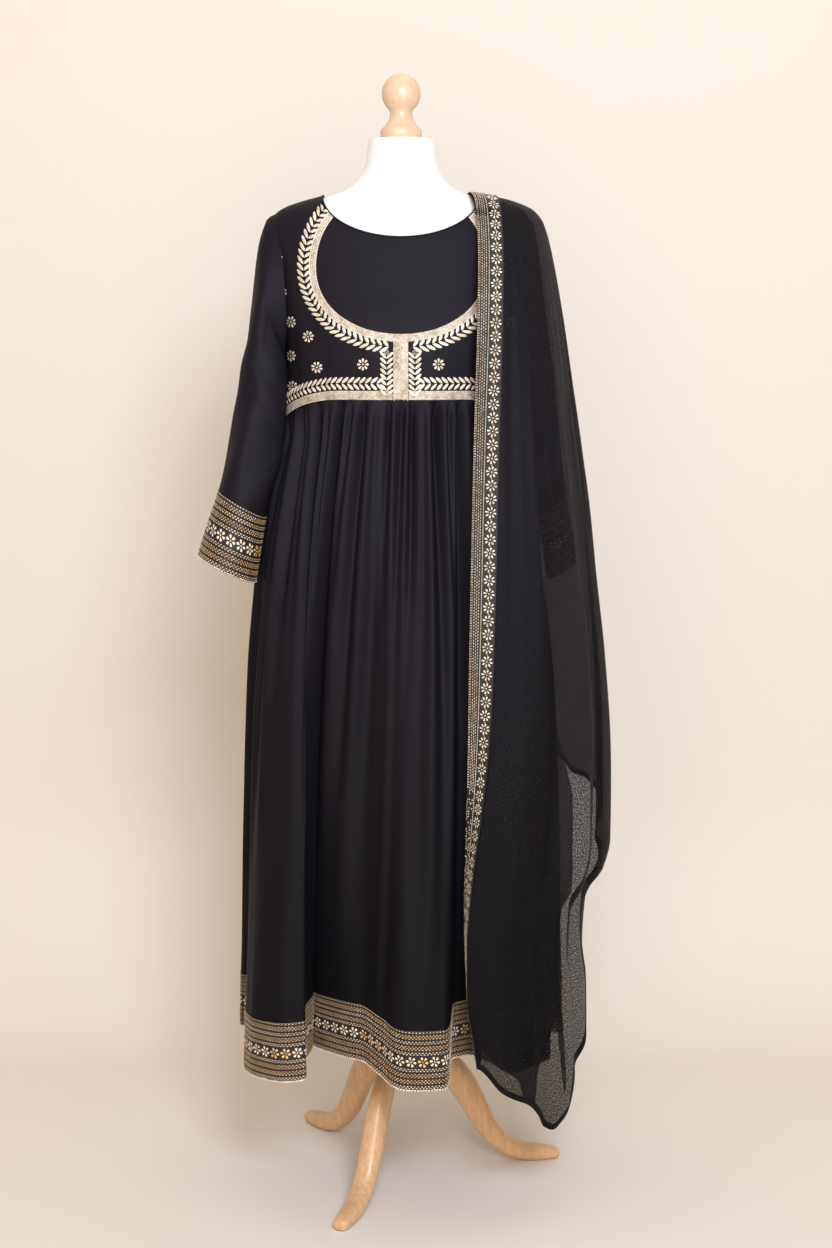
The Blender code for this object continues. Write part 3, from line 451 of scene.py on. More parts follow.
def bodice_creases(turn, height):
    """Soft drags in the cloth: hanging folds within the neckline, and pulls from the underarms."""
    front = np.clip(np.cos(turn), 0, 1)
    back = np.clip(-np.cos(turn), 0, 1)
    low = np.clip((1.40 - height) / 0.16, 0, 1)
    hang = np.sin(CREASES * turn + 0.9 * np.sin(4 * turn) + 6 * height) * CREASE_DEPTH
    hang = hang + np.sin(FINE_CREASES * turn + 9 * height) * FINE_CREASE_DEPTH
    beside = np.clip(np.abs(np.sin(turn)) - PULLS_FROM, 0, 1)
    pull = np.sin(PULLS * height + 9 * np.abs(turn)) * beside * PULLS_DEPTH
    pull = pull * np.clip((1.43 - height) / 0.1, 0, 1)
    return (hang * low + pull) * (0.5 * front + 0.8 * back + 0.25)


def bodice_surface(turn, height):
    """The bodice's outer face."""
    near = trunk_point(BODICE, turn, height)
    flat = np.array([1.0, 1.0, 0.0]) * near
    flat = flat / (np.linalg.norm(flat, axis=-1, keepdims=True) + 1e-9)
    return near + flat * bodice_creases(turn, height)[..., None]


def bodice_down(turn, drop):
    """The bodice read by the drop from a height above it all."""
    return bodice_surface(turn, ABOVE_ALL - drop)


def bodice_turn(x, height):
    """The turn at which the bodice has this distance from the middle line."""
    square = BODICE.at("squareness", height)
    share = np.clip(np.abs(x) / BODICE.at("half_width", height), 0, 1)
    return np.sign(x) * np.arctan2(share, (1 - share**square) ** (1 / square))


def bodice_side_x(y, height):
    """The bodice's distance from the middle line at this depth."""
    square = BODICE.at("squareness", height)
    depth = np.where(y < 0, BODICE.at("front", height), BODICE.at("back", height))
    share = np.clip(np.abs(y) / depth, 0, 1)
    return BODICE.at("half_width", height) * (1 - share**square) ** (1 / square)


def armhole(around, grow=0.0):
    """The armhole's depth and height: around is 0 at the shoulder tip and pi under the arm."""
    half = (SHOULDER_TIP - UNDERARM) / 2
    height = SHOULDER_TIP - half + (half + grow) * np.cos(around)
    return -(ARMHOLE_DEPTH + grow) * np.sin(around), height


def seam_height(turn):
    """The waist seam: level in the middle of the front, then down to the sides, and level behind."""
    side = np.clip(np.abs(turn) / QUARTER, 0, 1)
    drop = np.where(side > SEAM_LEVEL, (side - SEAM_LEVEL) / (1 - SEAM_LEVEL), 0.0)
    return SEAM_FRONT - (SEAM_FRONT - SEAM_SIDE) * drop**SEAM_BEND


def blend(start, end, share):
    """Points at these shares of the way from the starts to the ends."""
    return start + (end - start) * share[..., None]


def run_length(line):
    """The length along a line of points, at each of them."""
    return np.concatenate([[0], np.cumsum(np.linalg.norm(np.diff(line, axis=0), axis=1))])


def panel_domain(neck_height, columns, behind):
    """Turn and height over half a bodice panel, from the middle line to the side seam: a grid
    ruled between the neck and shoulder, the armhole and side, the waist seam and the middle."""
    neck_columns = columns * 3 // 5
    side = QUARTER - SEAM_GAP / 2 / BODICE.at("front", NECK_POINT)
    sweep = QUARTER * np.sin(np.linspace(0, QUARTER, neck_columns))
    neck_x = BODICE.at("half_width", NECK_POINT) * np.sin(sweep)
    neck_z = NECK_POINT - (NECK_POINT - neck_height) * np.cos(sweep)
    shoulder_z = np.linspace(NECK_POINT, SHOULDER_TIP + ARMHOLE_EASE, columns - neck_columns + 1)[1:]
    shoulder_x = BODICE.at("half_width", shoulder_z)
    top = np.stack([np.append(neck_x, shoulder_x), np.append(neck_z, shoulder_z)], axis=-1)
    y, z = armhole(np.linspace(0, math.pi, HOLE_ROWS), ARMHOLE_EASE)
    y = -y if behind else y
    hole = np.stack([bodice_side_x(y, z), z], axis=-1)
    seam_z = np.linspace(z[-1], SEAM_SIDE, PANEL_ROWS - HOLE_ROWS + 1)[1:]
    seam = np.stack([BODICE.at("half_width", seam_z), seam_z], axis=-1)
    outer = np.concatenate([hole, seam])
    outer[0] = top[-1]
    edge = trunk_point(BODICE, np.minimum(bodice_turn(*top.T), side), top[:, 1])
    length = run_length(edge)
    turn = side * length / length[-1]
    bottom_z = seam_height(math.pi - turn if behind else turn)
    bottom = trunk_point(BODICE, turn, bottom_z)[:, [0, 2]]
    fall = (outer[0, 1] - outer[:, 1]) / (outer[0, 1] - outer[-1, 1])
    middle = np.stack([0 * fall, neck_height + (bottom_z[0] - neck_height) * fall], axis=-1)
    u, v = np.meshgrid(length / length[-1], fall)
    ruled = blend(top[None], bottom[None], v) + blend(middle[:, None], outer[:, None], u)
    corners = blend(blend(top[0], top[-1], u), blend(bottom[0], bottom[-1], u), v)
    x, z = np.moveaxis(ruled - corners, -1, 0)
    return np.minimum(bodice_turn(x, z), side), z


def laid(surface, across, down):
    """Points of a surface and its outward normals. across runs right and down runs down."""
    step = 4e-4
    along = surface(across + step, down) - surface(across - step, down)
    fall = surface(across, down + step) - surface(across, down - step)
    normal = np.cross(fall, along)
    length = np.linalg.norm(normal, axis=-1, keepdims=True)
    return surface(across, down), normal / np.maximum(length, 1e-12)


def cloth_shell(name, surface, across, down, inner, outer, finishes, closed=False, uv=None):
    """A sheet of cloth between two distances out from a surface, closed round its edges, with a
    UV map in metres. A closed sheet is a tube, whose last column is its first one again."""
    across, down = np.broadcast_arrays(across, down)
    middle, normal = laid(surface, across, down)
    rows, columns = middle.shape[:2]
    wrap = columns - 1 if closed else columns
    points = [(middle + normal * off)[:, :wrap].reshape(-1, 3) for off in (outer, inner)]
    if uv is None:
        right = np.linalg.norm(np.diff(middle, axis=1), axis=2)
        fall = np.linalg.norm(np.diff(middle, axis=0), axis=2)
        u = np.concatenate([np.zeros((rows, 1)), np.cumsum(right, axis=1)], axis=1)
        v = np.concatenate([np.zeros((1, columns)), np.cumsum(fall, axis=0)], axis=0)
        uv = np.stack([u - u[:, columns // 2, None], v], axis=-1)
    at = np.arange(rows)[:, None] * wrap + np.arange(columns) % wrap
    spot = np.arange(rows)[:, None] * columns + np.arange(columns)

    def rim(grid, shift):
        lines = [(grid[0, :-1], grid[0, 1:]), (grid[-1, 1:], grid[-1, :-1])]
        if not closed:
            lines += [(grid[1:, 0], grid[:-1, 0]), (grid[:-1, -1], grid[1:, -1])]
        return np.concatenate([np.stack([a, b, b + shift, a + shift], axis=-1) for a, b in lines])

    count = rows * wrap
    faces = quads(at).reshape(-1, 4)
    corners = quads(spot).reshape(-1, 4)
    faces = np.concatenate([faces, faces[:, ::-1] + count, rim(at, count)])
    corners = np.concatenate([corners, corners[:, ::-1], rim(spot, 0)])
    uv = uv.reshape(-1, 2)[corners.ravel()]
    piece = make_mesh(name, np.concatenate(points), faces, uv, finishes)
    return piece


def bodice_panel(name, neck_height, columns, behind):
    """A whole panel: half of it, and the same half turned over to the other side."""
    turn, height = panel_domain(neck_height, columns, behind)
    turn = np.concatenate([-turn[:, :0:-1], turn], axis=1)
    drop = ABOVE_ALL - np.concatenate([height[:, :0:-1], height], axis=1)
    if behind:
        turn = math.pi - turn[:, ::-1]
    return cloth_shell(name, bodice_down, turn, drop, -GEORGETTE, 0.0, [georgette])


bodice_front_cloth = bodice_panel("bodice_front_cloth", FRONT_NECK, 56, behind=False)
bodice_back_cloth = bodice_panel("bodice_back_cloth", BACK_NECK, 46, behind=True)
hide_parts("bodice_front")
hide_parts("bodice_back")


ASKEW = np.array([0.31, 0.17, 0.94])


def piping(name, path, radius, sides=8):
    """A covered cord: a round section carried round a ring of points."""
    way = np.roll(path, -1, axis=0) - np.roll(path, 1, axis=0)
    way /= np.linalg.norm(way, axis=1, keepdims=True) + 1e-12
    side = np.cross(way, ASKEW)
    side /= np.linalg.norm(side, axis=1, keepdims=True) + 1e-12
    up = np.cross(side, way)
    turn = np.linspace(0, 2 * math.pi, sides, endpoint=False)
    section = side[:, None] * np.cos(turn)[:, None] + up[:, None] * np.sin(turn)[:, None]
    points = (path[:, None] + section * radius).reshape(-1, 3)
    rows = np.arange(len(path) + 1)

    def strips(grid):
        return np.stack([grid[:-1, :-1], grid[:-1, 1:], grid[1:, 1:], grid[1:, :-1]], axis=-1)

    faces = strips((rows % len(path))[:, None] * sides + np.arange(sides + 1) % sides).reshape(-1, 4)
    corners = strips(rows[:, None] * (sides + 1) + np.arange(sides + 1)).ravel()
    u, v = np.meshgrid(np.arange(sides + 1) * 0.001, run_length(np.append(path, path[:1], axis=0)))
    uv = np.stack([u, v], axis=-1).reshape(-1, 2)[corners]
    piece = make_mesh(name, points, faces, uv, [georgette])
    return piece


PIPING_RADIUS, PIPING_RISE, PIPING_INSET = 0.0013, 0.0004, 0.998
neck_sweep = np.linspace(-QUARTER, QUARTER, 81)
neck_halves = []
for depth, behind in ((FRONT_NECK, False), (BACK_NECK, True)):
    z = NECK_POINT - (NECK_POINT - depth) * np.cos(neck_sweep)
    turn = bodice_turn(BODICE.at("half_width", NECK_POINT) * np.sin(neck_sweep), z)
    line = bodice_surface(math.pi - turn if behind else turn, z)
    neck_halves.append(line[-2:0:-1] if behind else line)
neck_line = np.concatenate(neck_halves)
neck_line[:, 2] += PIPING_RISE
neck_piping = piping("neck_piping", neck_line * (PIPING_INSET, PIPING_INSET, 1), PIPING_RADIUS)


# The zari work on the bodice: silver-gilt thread couched by hand on the cloth, as a U of dense
# rows and wheat-ears, a placket, a band above the waist seam and scattered flowers.
def zari(name, colour, shade, metal):
    """Couched metal thread of two tones, with dark specks where the ground shows between."""
    thread = Finish(name, colour, 0.42, Metallic=metal, Specular_IOR_Level=0.6)
    strand = thread.noise(thread.place((2400, 2400, 1500)), 1.0, 1.0)
    speck = thread.noise(thread.place(), 620.0, 2.0)
    worn = thread.noise(thread.place(), 90.0, 2.0)
    tone = thread.mix((strand - 0.42) * 2.4 + (worn - 0.5) * 2.6, colour, shade)
    thread.use(
        Base_Color=thread.mix((speck > 0.60) * 0.55, tone, tuple(c * 0.42 for c in shade)),
        Roughness=0.34 + strand * 0.25,
    )
    thread.bump(strand + speck, 0.4, 0.0005)
    return thread


silver_zari = zari("silver_zari", (0.92, 0.83, 0.69), (0.50, 0.37, 0.23), 0.25)
gold_zari = zari("gold_zari", (0.74, 0.50, 0.25), (0.34, 0.20, 0.085), 0.3)
band_pale = zari("band_pale_zari", (0.98, 0.83, 0.62), (0.62, 0.44, 0.27), 0.15)
band_gold = zari("band_gold_zari", (0.95, 0.61, 0.27), (0.44, 0.25, 0.095), 0.25)
gilt_ground = zari("gilt_ground", (0.53, 0.455, 0.36), (0.25, 0.19, 0.13), 0.1)
SUNK = -0.0001


def seed(length, half_width, height, stations):
    """A padded stitch with pointed ends along x: a low roof of three edges. Each station is a
    share of its length, of its width and of its height. Its lower edges are sunk in the cloth."""
    points = [(0.0, 0.0, 0.0)]
    for x, wide, tall in stations:
        points += [(x * length, wide * half_width, SUNK), (x * length, 0, tall * height)]
        points += [(x * length, -wide * half_width, SUNK)]
    points.append((length, 0.0, 0.0))
    end = len(points) - 1
    faces = []
    for k in range(3):
        near, far = 1 + k, 1 + (k + 1) % 3
        faces.append((0, near, far))
        for i in range(len(stations) - 1):
            a, b = 3 * i + near, 3 * i + far
            faces += [(a, a + 3, b + 3), (a, b + 3, b)]
        faces.append((end, end - 3 + far - 1, end - 3 + near - 1))
    return np.array(points), np.array(faces)


def dot(radius, height, sides=6):
    """A round knot."""
    turn = np.linspace(0, 2 * math.pi, sides, endpoint=False)
    ring = np.stack([radius * np.cos(turn), -radius * np.sin(turn), 0 * turn], axis=1)
    points = np.concatenate([ring, [(0, 0, height), (0, 0, SUNK)]])
    faces = [(sides, i, (i + 1) % sides) for i in range(sides)]
    faces += [(sides + 1, (i + 1) % sides, i) for i in range(sides)]
    return points, np.array(faces)


LEAF = ((0.20, 0.75, 0.9), (0.50, 1.0, 1.0), (0.82, 0.78, 0.8))
PETAL = ((0.42, 0.75, 0.8), (0.82, 1.0, 0.9))
GRAIN = ((0.5, 1.0, 1.0),)


def joined(shapes):
    """One shape from several, each with its turn and its shift along its own x."""
    points, faces, count = [], [], 0
    for (shape_points, shape_faces), turn, shift in shapes:
        x, y, z = (shape_points + (shift, 0, 0)).T
        x, y = x * math.cos(turn) - y * math.sin(turn), x * math.sin(turn) + y * math.cos(turn)
        points.append(np.stack([x, y, z], axis=1))
        faces.append(shape_faces + count)
        count += len(shape_points)
    return np.concatenate(points), np.concatenate(faces)


def flower(across, count=8):
    """A flower of petals round a knot, whose parts are shares of its width."""
    petal = seed(across * 0.36, across * 0.80 / count, 0.0009, PETAL)
    petals = [(petal, k * 2 * math.pi / count, across * 0.14) for k in range(count)]
    return joined(petals + [(dot(across * 0.075, 0.0013), 0.0, 0.0)])


def stitched(name, surface, place, groups, finishes, lift):
    """Stitches laid on a surface. A group is a shape, its material's number, and arrays of how
    far along and across the band each copy lies, its heading and its size. place turns those
    lengths into the surface's own two places. lift is how far out they lie."""
    points, faces, indices, count = [], [], [], 0
    for (shape, triangles), index, u, v, heading, size in groups:
        u, v, heading, size = (np.ravel(a) for a in np.broadcast_arrays(u, v, heading, size))
        x, y = shape[:, 0] * size[:, None], shape[:, 1] * size[:, None]
        cosine, sine = np.cos(heading)[:, None], np.sin(heading)[:, None]
        across, down = place(u[:, None] + x * cosine - y * sine, v[:, None] + x * sine + y * cosine)
        on, normal = laid(surface, across, down)
        on = on + normal * (shape[:, 2] * size[:, None] + lift)[..., None]
        points.append(on.reshape(-1, 3))
        tiled = triangles[None] + (np.arange(len(u)) * len(shape))[:, None, None] + count
        faces.append(tiled.reshape(-1, 3))
        indices.append(np.full(len(u) * len(triangles), index))
        count += len(u) * len(shape)
    piece = make_mesh(
        name, np.concatenate(points), np.concatenate(faces), None, finishes, np.concatenate(indices)
    )
    return piece


def even(start, end, pitch):
    """Places about a pitch apart between two ends, half a pitch in from each."""
    count = max(int(round((end - start) / pitch)), 1)
    return start + (end - start) * (np.arange(count) + 0.5) / count


def measured(surface, across, down):
    """The length along a line of a surface, at each place across, from the middle one."""
    length = run_length(surface(across, down + 0 * across))
    return length - length[len(length) // 2]


YOKE_CENTRE, YOKE_HALF_WIDTH = 1.378, 0.1205
YOKE_BELOW, YOKE_ABOVE, YOKE_SQUARENESS = 0.0945, 0.113, 2.1
YOKE_END_ANGLE = math.radians(129)
YOKE_EDGE_ROWS, YOKE_GROUND_WIDTH = (0.0013, 0.0095), 0.0108
YOKE_LEAVES_ACROSS, YOKE_LEAVES_PITCH = 0.0183, 0.0094
GROUND_FROM, GROUND_TO, BAND_LIFT = 0.0001, 0.0004, 0.0005
EDGE_PITCH, FILL_PITCH, FILL_SHIFT = 0.0031, 0.0044, 0.0022


def yoke_surface(angle, across):
    """The bodice by the U round its plain centre: angle runs along it from the bottom's middle,
    across runs outwards."""
    below = np.cos(angle) > 0
    power = 2 / YOKE_SQUARENESS
    sine, cosine = np.sin(angle), np.cos(angle)
    x = YOKE_HALF_WIDTH * np.sign(sine) * np.abs(sine) ** power
    rise = np.where(below, YOKE_BELOW, YOKE_ABOVE)
    z = YOKE_CENTRE - rise * np.sign(cosine) * np.abs(cosine) ** power
    out_x = np.sign(sine) * np.abs(sine) ** (2 - power) / YOKE_HALF_WIDTH
    out_z = -np.sign(cosine) * np.abs(cosine) ** (2 - power) / rise
    reach = across / np.hypot(out_x, out_z)
    x, z = x + out_x * reach, z + out_z * reach
    return bodice_surface(bodice_turn(x, z), z)


yoke_angles = np.linspace(-YOKE_END_ANGLE, YOKE_END_ANGLE, 241)
yoke_length = measured(yoke_surface, yoke_angles, YOKE_LEAVES_ACROSS - 0.0003)
yoke_half = yoke_length[-1]


def on_yoke(along, across):
    """From the length along the U from its bottom's middle, and the distance outwards."""
    return np.interp(along, yoke_length, yoke_angles), across


def ground(name, surface, across, down, inner=GROUND_FROM, outer=GROUND_TO):
    """The couched gilt ground of a band, under its stitches."""
    return cloth_shell(name, surface, across, down, inner, outer, [gilt_ground])


def silver_work(name, surface, place, rows, lift):
    """Rows of stitches in silver thread, and in gold where a row's number is 1."""
    return stitched(name, surface, place, rows, [silver_zari, gold_zari], lift)


yoke_across = np.linspace(0.0, YOKE_GROUND_WIDTH, 5)
yoke_ground = ground("yoke_ground", yoke_surface, yoke_angles[None], yoke_across[:, None])
leaf = seed(0.0152, 0.0023, 0.0010, LEAF)
inner_leaf = seed(0.0118, 0.0024, 0.0009, LEAF)
column_leaf = seed(0.0128, 0.0021, 0.0009, LEAF)
HALF_GRAIN = 0.0016
grain = seed(2 * HALF_GRAIN, 0.0009, 0.0007, GRAIN)


def chain(across, ends, index, pitch, lean, size):
    """A row of small stitches along a band, every second one leaning the other way."""
    along = even(*ends, pitch)
    leans = lean * np.where(np.arange(len(along)) % 2, 1, -1)
    back = HALF_GRAIN * size
    return (grain, index, along - back * np.cos(leans), across - back * np.sin(leans), leans, size)


chance = np.random.default_rng(7)


def mingled(row, other, share):
    """A row worked in two threads, where a share of its stitches takes the other one."""
    shape, index, *places = row
    places = np.broadcast_arrays(*places)
    taken = chance.random(places[0].shape) < share
    return [(shape, index, *(p[~taken] for p in places)), (shape, other, *(p[taken] for p in places))]


rows = [chain(across, (-yoke_half, yoke_half), 0, EDGE_PITCH, 0.0, 1.20) for across in YOKE_EDGE_ROWS]
for across, shift in ((0.0040, 0.0), (0.0067, FILL_SHIFT)):
    fill = chain(across, (shift - yoke_half, shift + yoke_half), 0, FILL_PITCH, 0.2, 1.15)
    rows += mingled(fill, 1, 0.15)
for side in (-1, 1):
    ears = even(0.0125, yoke_half - 0.002, YOKE_LEAVES_PITCH) * side
    straight = 0.0 if side > 0 else math.pi
    rows.append((leaf, 0, ears, YOKE_LEAVES_ACROSS, straight + side * 0.68, 1.0))
    rows.append((inner_leaf, 0, ears + side * 0.0004, 0.0178, straight - side * 0.74, 0.96))
yoke_stitches = silver_work("yoke_stitches", yoke_surface, on_yoke, rows, BAND_LIFT)
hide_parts("yoke_border")
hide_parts("yoke_border")

# The placket's rows of stitches: how far each lies to either side, its pitch and its shift.
PLACKET_ROWS = (
    (0.0018, 0.0034, 0.0),
    (0.0043, 0.0042, 0.0019),
    (0.0068, 0.0042, 0.0),
    (0.0094, 0.0034, 0.0019),
)
BODICE_TOP = 1.5
PLACKET_HALF_WIDTH, PLACKET_MIDDLE = 0.0105, 1.24
PLACKET_DROP, PLACKET_END = BODICE_TOP - 1.2835, BODICE_TOP - (SEAM_FRONT + 0.001)
PLACKET_FROM, PLACKET_TO, PLACKET_LIFT = 0.0005, 0.0009, 0.0010
LEAVES_DROP, LEAVES_ASIDE, LEAVES_PITCH = BODICE_TOP - 1.2585, 0.0200, 0.0076


def on_bodice(x, drop):
    """From the distance to the middle line, and the drop below the bodice's top."""
    return bodice_turn(x, BODICE_TOP - drop), ABOVE_ALL - BODICE_TOP + drop


placket_x = np.linspace(-PLACKET_HALF_WIDTH, PLACKET_HALF_WIDTH, 13)
placket_drops = ABOVE_ALL - BODICE_TOP + np.linspace(PLACKET_DROP, PLACKET_END, 19)
placket_ground = ground(
    "placket_ground", bodice_down, bodice_turn(placket_x, PLACKET_MIDDLE)[None], placket_drops[:, None],
    PLACKET_FROM, PLACKET_TO,
)
rows = []
for x, pitch, shift in PLACKET_ROWS:
    for side in (-1, 1):
        down = even(PLACKET_DROP, PLACKET_END, pitch) - HALF_GRAIN + shift
        rows += mingled((grain, 0, x * side, down, QUARTER, 1.15), 1, 0.15)
ears = even(LEAVES_DROP + 0.0055, PLACKET_END - 0.001, LEAVES_PITCH)
for side in (-1, 1):
    for lean in (side * 0.80, -side * 0.80):
        rows.append((column_leaf, 0, side * LEAVES_ASIDE, ears, -QUARTER + lean, 1.0))
    rows.append((flower(0.0080), 0, side * LEAVES_ASIDE, LEAVES_DROP + 0.0005, 0.4, 1.0))
placket_stitches = silver_work("placket_stitches", bodice_down, on_bodice, rows, PLACKET_LIFT)
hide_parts("placket")
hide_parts("placket")

WAIST_BAND, WAIST_FROM = 0.0344, 0.0115
WAIST_EDGE_ROWS = (0.0226, 0.0331)
WAIST_FILL_ROWS = ((0.0252, 0.0), (0.0279, FILL_SHIFT), (0.0305, 0.0))
waist_drops = np.linspace(0.0215, 0.034, 4)
waist_turns = np.linspace(-QUARTER + 0.03, QUARTER - 0.03, 161)
waist_length = measured(bodice_down, waist_turns, ABOVE_ALL - (seam_height(waist_turns) + 0.012))


def waist_surface(turn, drop):
    """The bodice above its waist seam: drop is 0 along the top of the seam's band."""
    return bodice_surface(turn, seam_height(turn) + WAIST_BAND - drop)


def on_waist(along, drop):
    """From the length along the waist seam from its middle, and the drop below the band's top."""
    return np.interp(along, waist_length, waist_turns), drop


for name, side in (("right", -1), ("left", 1)):
    ends = np.sort(np.array([WAIST_FROM, waist_length[-1]]) * side)
    turns = np.interp(np.linspace(*ends, 61), waist_length, waist_turns)
    waist_ground = ground("waist_ground_" + name, waist_surface, turns[None], waist_drops[:, None])
    rows = [chain(drop, ends, 0, EDGE_PITCH, 0.0, 1.15) for drop in WAIST_EDGE_ROWS]
    for drop, shift in WAIST_FILL_ROWS:
        rows += mingled(chain(drop, ends + shift, 0, FILL_PITCH, 0.2, 1.1), 1, 0.2)
    ears = even(0.0300, waist_length[-1] - 0.002, 0.0086) * side
    inward = math.pi if side > 0 else 0.0
    rows.append((column_leaf, 0, ears, 0.0112, inward + side * 0.72, 1.06))
    rows.append((column_leaf, 0, ears, 0.0116, inward - side * 0.76, 0.98))
    waist_stitches = silver_work("waist_stitches_" + name, waist_surface, on_waist, rows, BAND_LIFT)
    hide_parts("waist_band_" + name)
    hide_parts("waist_band_" + name)

# The scattered flowers on either side: distance from the middle line, height and size.
BUTIS = (
    (0.0535, 1.241, 1.0),
    (0.120, 1.2365, 0.95),
    (0.132, 1.280, 0.95),
    (0.157, 1.209, 0.9),
    (0.159, 1.301, 0.95),
    (0.160, 1.2525, 0.95),
    (0.172, 1.343, 0.9),
    (0.178, 1.392, 0.9),
)
FLOWER_LIFT = 0.0003
buti = flower(0.0175)
x, z, size = np.array(BUTIS).T
turned = np.arange(len(x)) * 0.3
for name, side in (("right", -1), ("left", 1)):
    flowers = [(buti, 0, x * side, BODICE_TOP - z, turned, size)]
    stitched("bodice_flowers_" + name, bodice_down, on_bodice, flowers, [silver_zari], FLOWER_LIFT)


# The sleeves: tubes of georgette set into the armholes, soft and a little crushed at the
# elbow, each ending in a stiff cuff that is embroidered all over.
SLEEVE_COLUMNS = "share outer_x outer_z inner_x inner_z depth forward wrap"
SLEEVE_RIGHT = Table(
    SLEEVE_COLUMNS,
    (0.00, 0.1840, 1.4580, 0.1680, 1.2500, 0.052, 0.000, 0.028),
    (0.02, 0.1925, 1.4555, 0.1690, 1.2465, 0.053, 0.000, 0.028),
    (0.05, 0.1985, 1.4430, 0.1705, 1.2410, 0.054, 0.000, 0.028),
    (0.10, 0.2070, 1.4150, 0.1730, 1.2300, 0.056, 0.001, 0.028),
    (0.24, 0.2150, 1.3560, 0.1745, 1.2050, 0.057, 0.009, 0.028),
    (0.38, 0.2240, 1.2880, 0.1750, 1.1700, 0.056, 0.021, 0.028),
    (0.52, 0.2360, 1.2140, 0.1785, 1.1250, 0.054, 0.034, 0.028),
    (0.66, 0.2490, 1.1340, 0.1870, 1.0700, 0.052, 0.052, 0.028),
    (0.80, 0.2650, 1.0600, 0.1970, 1.0205, 0.050, 0.066, 0.028),
    (0.90, 0.2810, 1.0120, 0.2050, 0.9720, 0.053, 0.073, 0.028),
    (1.00, 0.2950, 0.9670, 0.2120, 0.9260, 0.056, 0.078, 0.028),
)
SLEEVE_LEFT = Table(
    SLEEVE_COLUMNS,
    (0.00, 0.1840, 1.4580, 0.1680, 1.2500, 0.052, 0.000, 0.000),
    (0.05, 0.1930, 1.4400, 0.1705, 1.2410, 0.054, 0.000, 0.000),
    (0.10, 0.1980, 1.4150, 0.1730, 1.2300, 0.056, 0.000, 0.000),
    (0.24, 0.2070, 1.3560, 0.1765, 1.2050, 0.058, 0.000, 0.000),
    (0.38, 0.2160, 1.2880, 0.1800, 1.1700, 0.060, 0.000, 0.000),
    (0.52, 0.2250, 1.2140, 0.1850, 1.1250, 0.061, 0.000, 0.000),
    (0.66, 0.2340, 1.1340, 0.1920, 1.0700, 0.062, 0.000, 0.000),
    (0.80, 0.2440, 1.0500, 0.2030, 1.0200, 0.062, 0.000, 0.000),
    (0.90, 0.2520, 1.0000, 0.2110, 0.9700, 0.064, 0.000, 0.000),
    (1.00, 0.2600, 0.9520, 0.2180, 0.9240, 0.066, 0.000, 0.000),
)
CUFF_FROM, CUFF_MIDDLE, CUFF_SHARE = 0.80, 0.9, 0.2
HEAD_SHARE, HEAD_OUTER_SHARE = 0.12, 0.08
HEAD_EASE = 0.0006
ELBOW, ELBOW_REACH = 0.47, 0.13
DRAG_DEPTH, PULL_DEPTH, PULL_RATE = 0.035, 0.030, 42
WRAP_FROM, WRAP_TO = 0.08, 0.78


def sleeve_surface(table, side):
    """A sleeve's outer face: around runs from its top over the front, share down to the cuff.
    Its head is shaped to the armhole, and its inner side is pressed round the bodice."""

    def surface(around, share):
        outer = np.stack([table.at("outer_x", share), table.at("outer_z", share)])
        inner = np.stack([table.at("inner_x", share), table.at("inner_z", share)])
        middle, half = (outer + inner) / 2, (outer - inner) / 2
        drag = np.sin(5 * around + 14 * share + side) * np.clip(share / 0.2, 0, 1)
        crushed = np.exp(-(((share - ELBOW) / ELBOW_REACH) ** 2))
        pulls = crushed * np.sin(PULL_RATE * share + 2.2 * np.sin(around))
        loose = np.clip((CUFF_FROM - share) / 0.12, 0, 1)
        ease = 1 + loose * (DRAG_DEPTH * drag + PULL_DEPTH * pulls)
        x, z = middle + half * np.cos(around) * ease
        y = side * table.at("depth", share) * np.sin(around) * ease - table.at("forward", share)
        wrapped = np.clip(-np.cos(around), 0, 1) * np.clip(-side * np.sin(around), 0, 1)
        window = np.clip((share - WRAP_FROM) / 0.1, 0, 1) * np.clip((WRAP_TO - share) / 0.2, 0, 1)
        x = x - table.at("wrap", share) * wrapped * window
        reach = HEAD_SHARE - HEAD_OUTER_SHARE * np.clip(np.cos(around), 0, 1)
        head = np.clip(1 - share / reach, 0, 1)
        head = head * head * (3 - 2 * head)
        head_y, head_z = armhole(-side * around)
        x = x + (bodice_side_x(head_y, head_z) + HEAD_EASE - x) * head
        y = y + (head_y - y) * head
        return np.stack([side * x, y, z], axis=-1)

    return surface


# The rows of a cuff or hem band: how far down each begins, and its tone.
BAND_ROWS = (
    (0.0000, "pale"),
    (0.0024, "dark"),
    (0.0045, "gold"),
    (0.0112, "dark"),
    (0.0134, "pale"),
    (0.0182, "dark"),
    (0.0204, "gold"),
    (0.0271, "dark"),
    (0.0292, "pale"),
    (0.0340, "dark"),
    (0.0352, "black"),
    (0.0520, "dark"),
    (0.0530, "pale"),
    (0.0580, "dark"),
    (0.0602, "gold"),
    (0.0669, "dark"),
    (0.0691, "gold"),
    (0.0758, "dark"),
    (0.0780, "pale"),
)
BAND_HEIGHT = 0.0855
BAND_TONES = {
    "pale": (0.050, 0.031, 0.018),
    "gold": (0.034, 0.017, 0.007),
    "dark": (0.006, 0.005, 0.005),
    "black": (0.010, 0.009, 0.009),
}


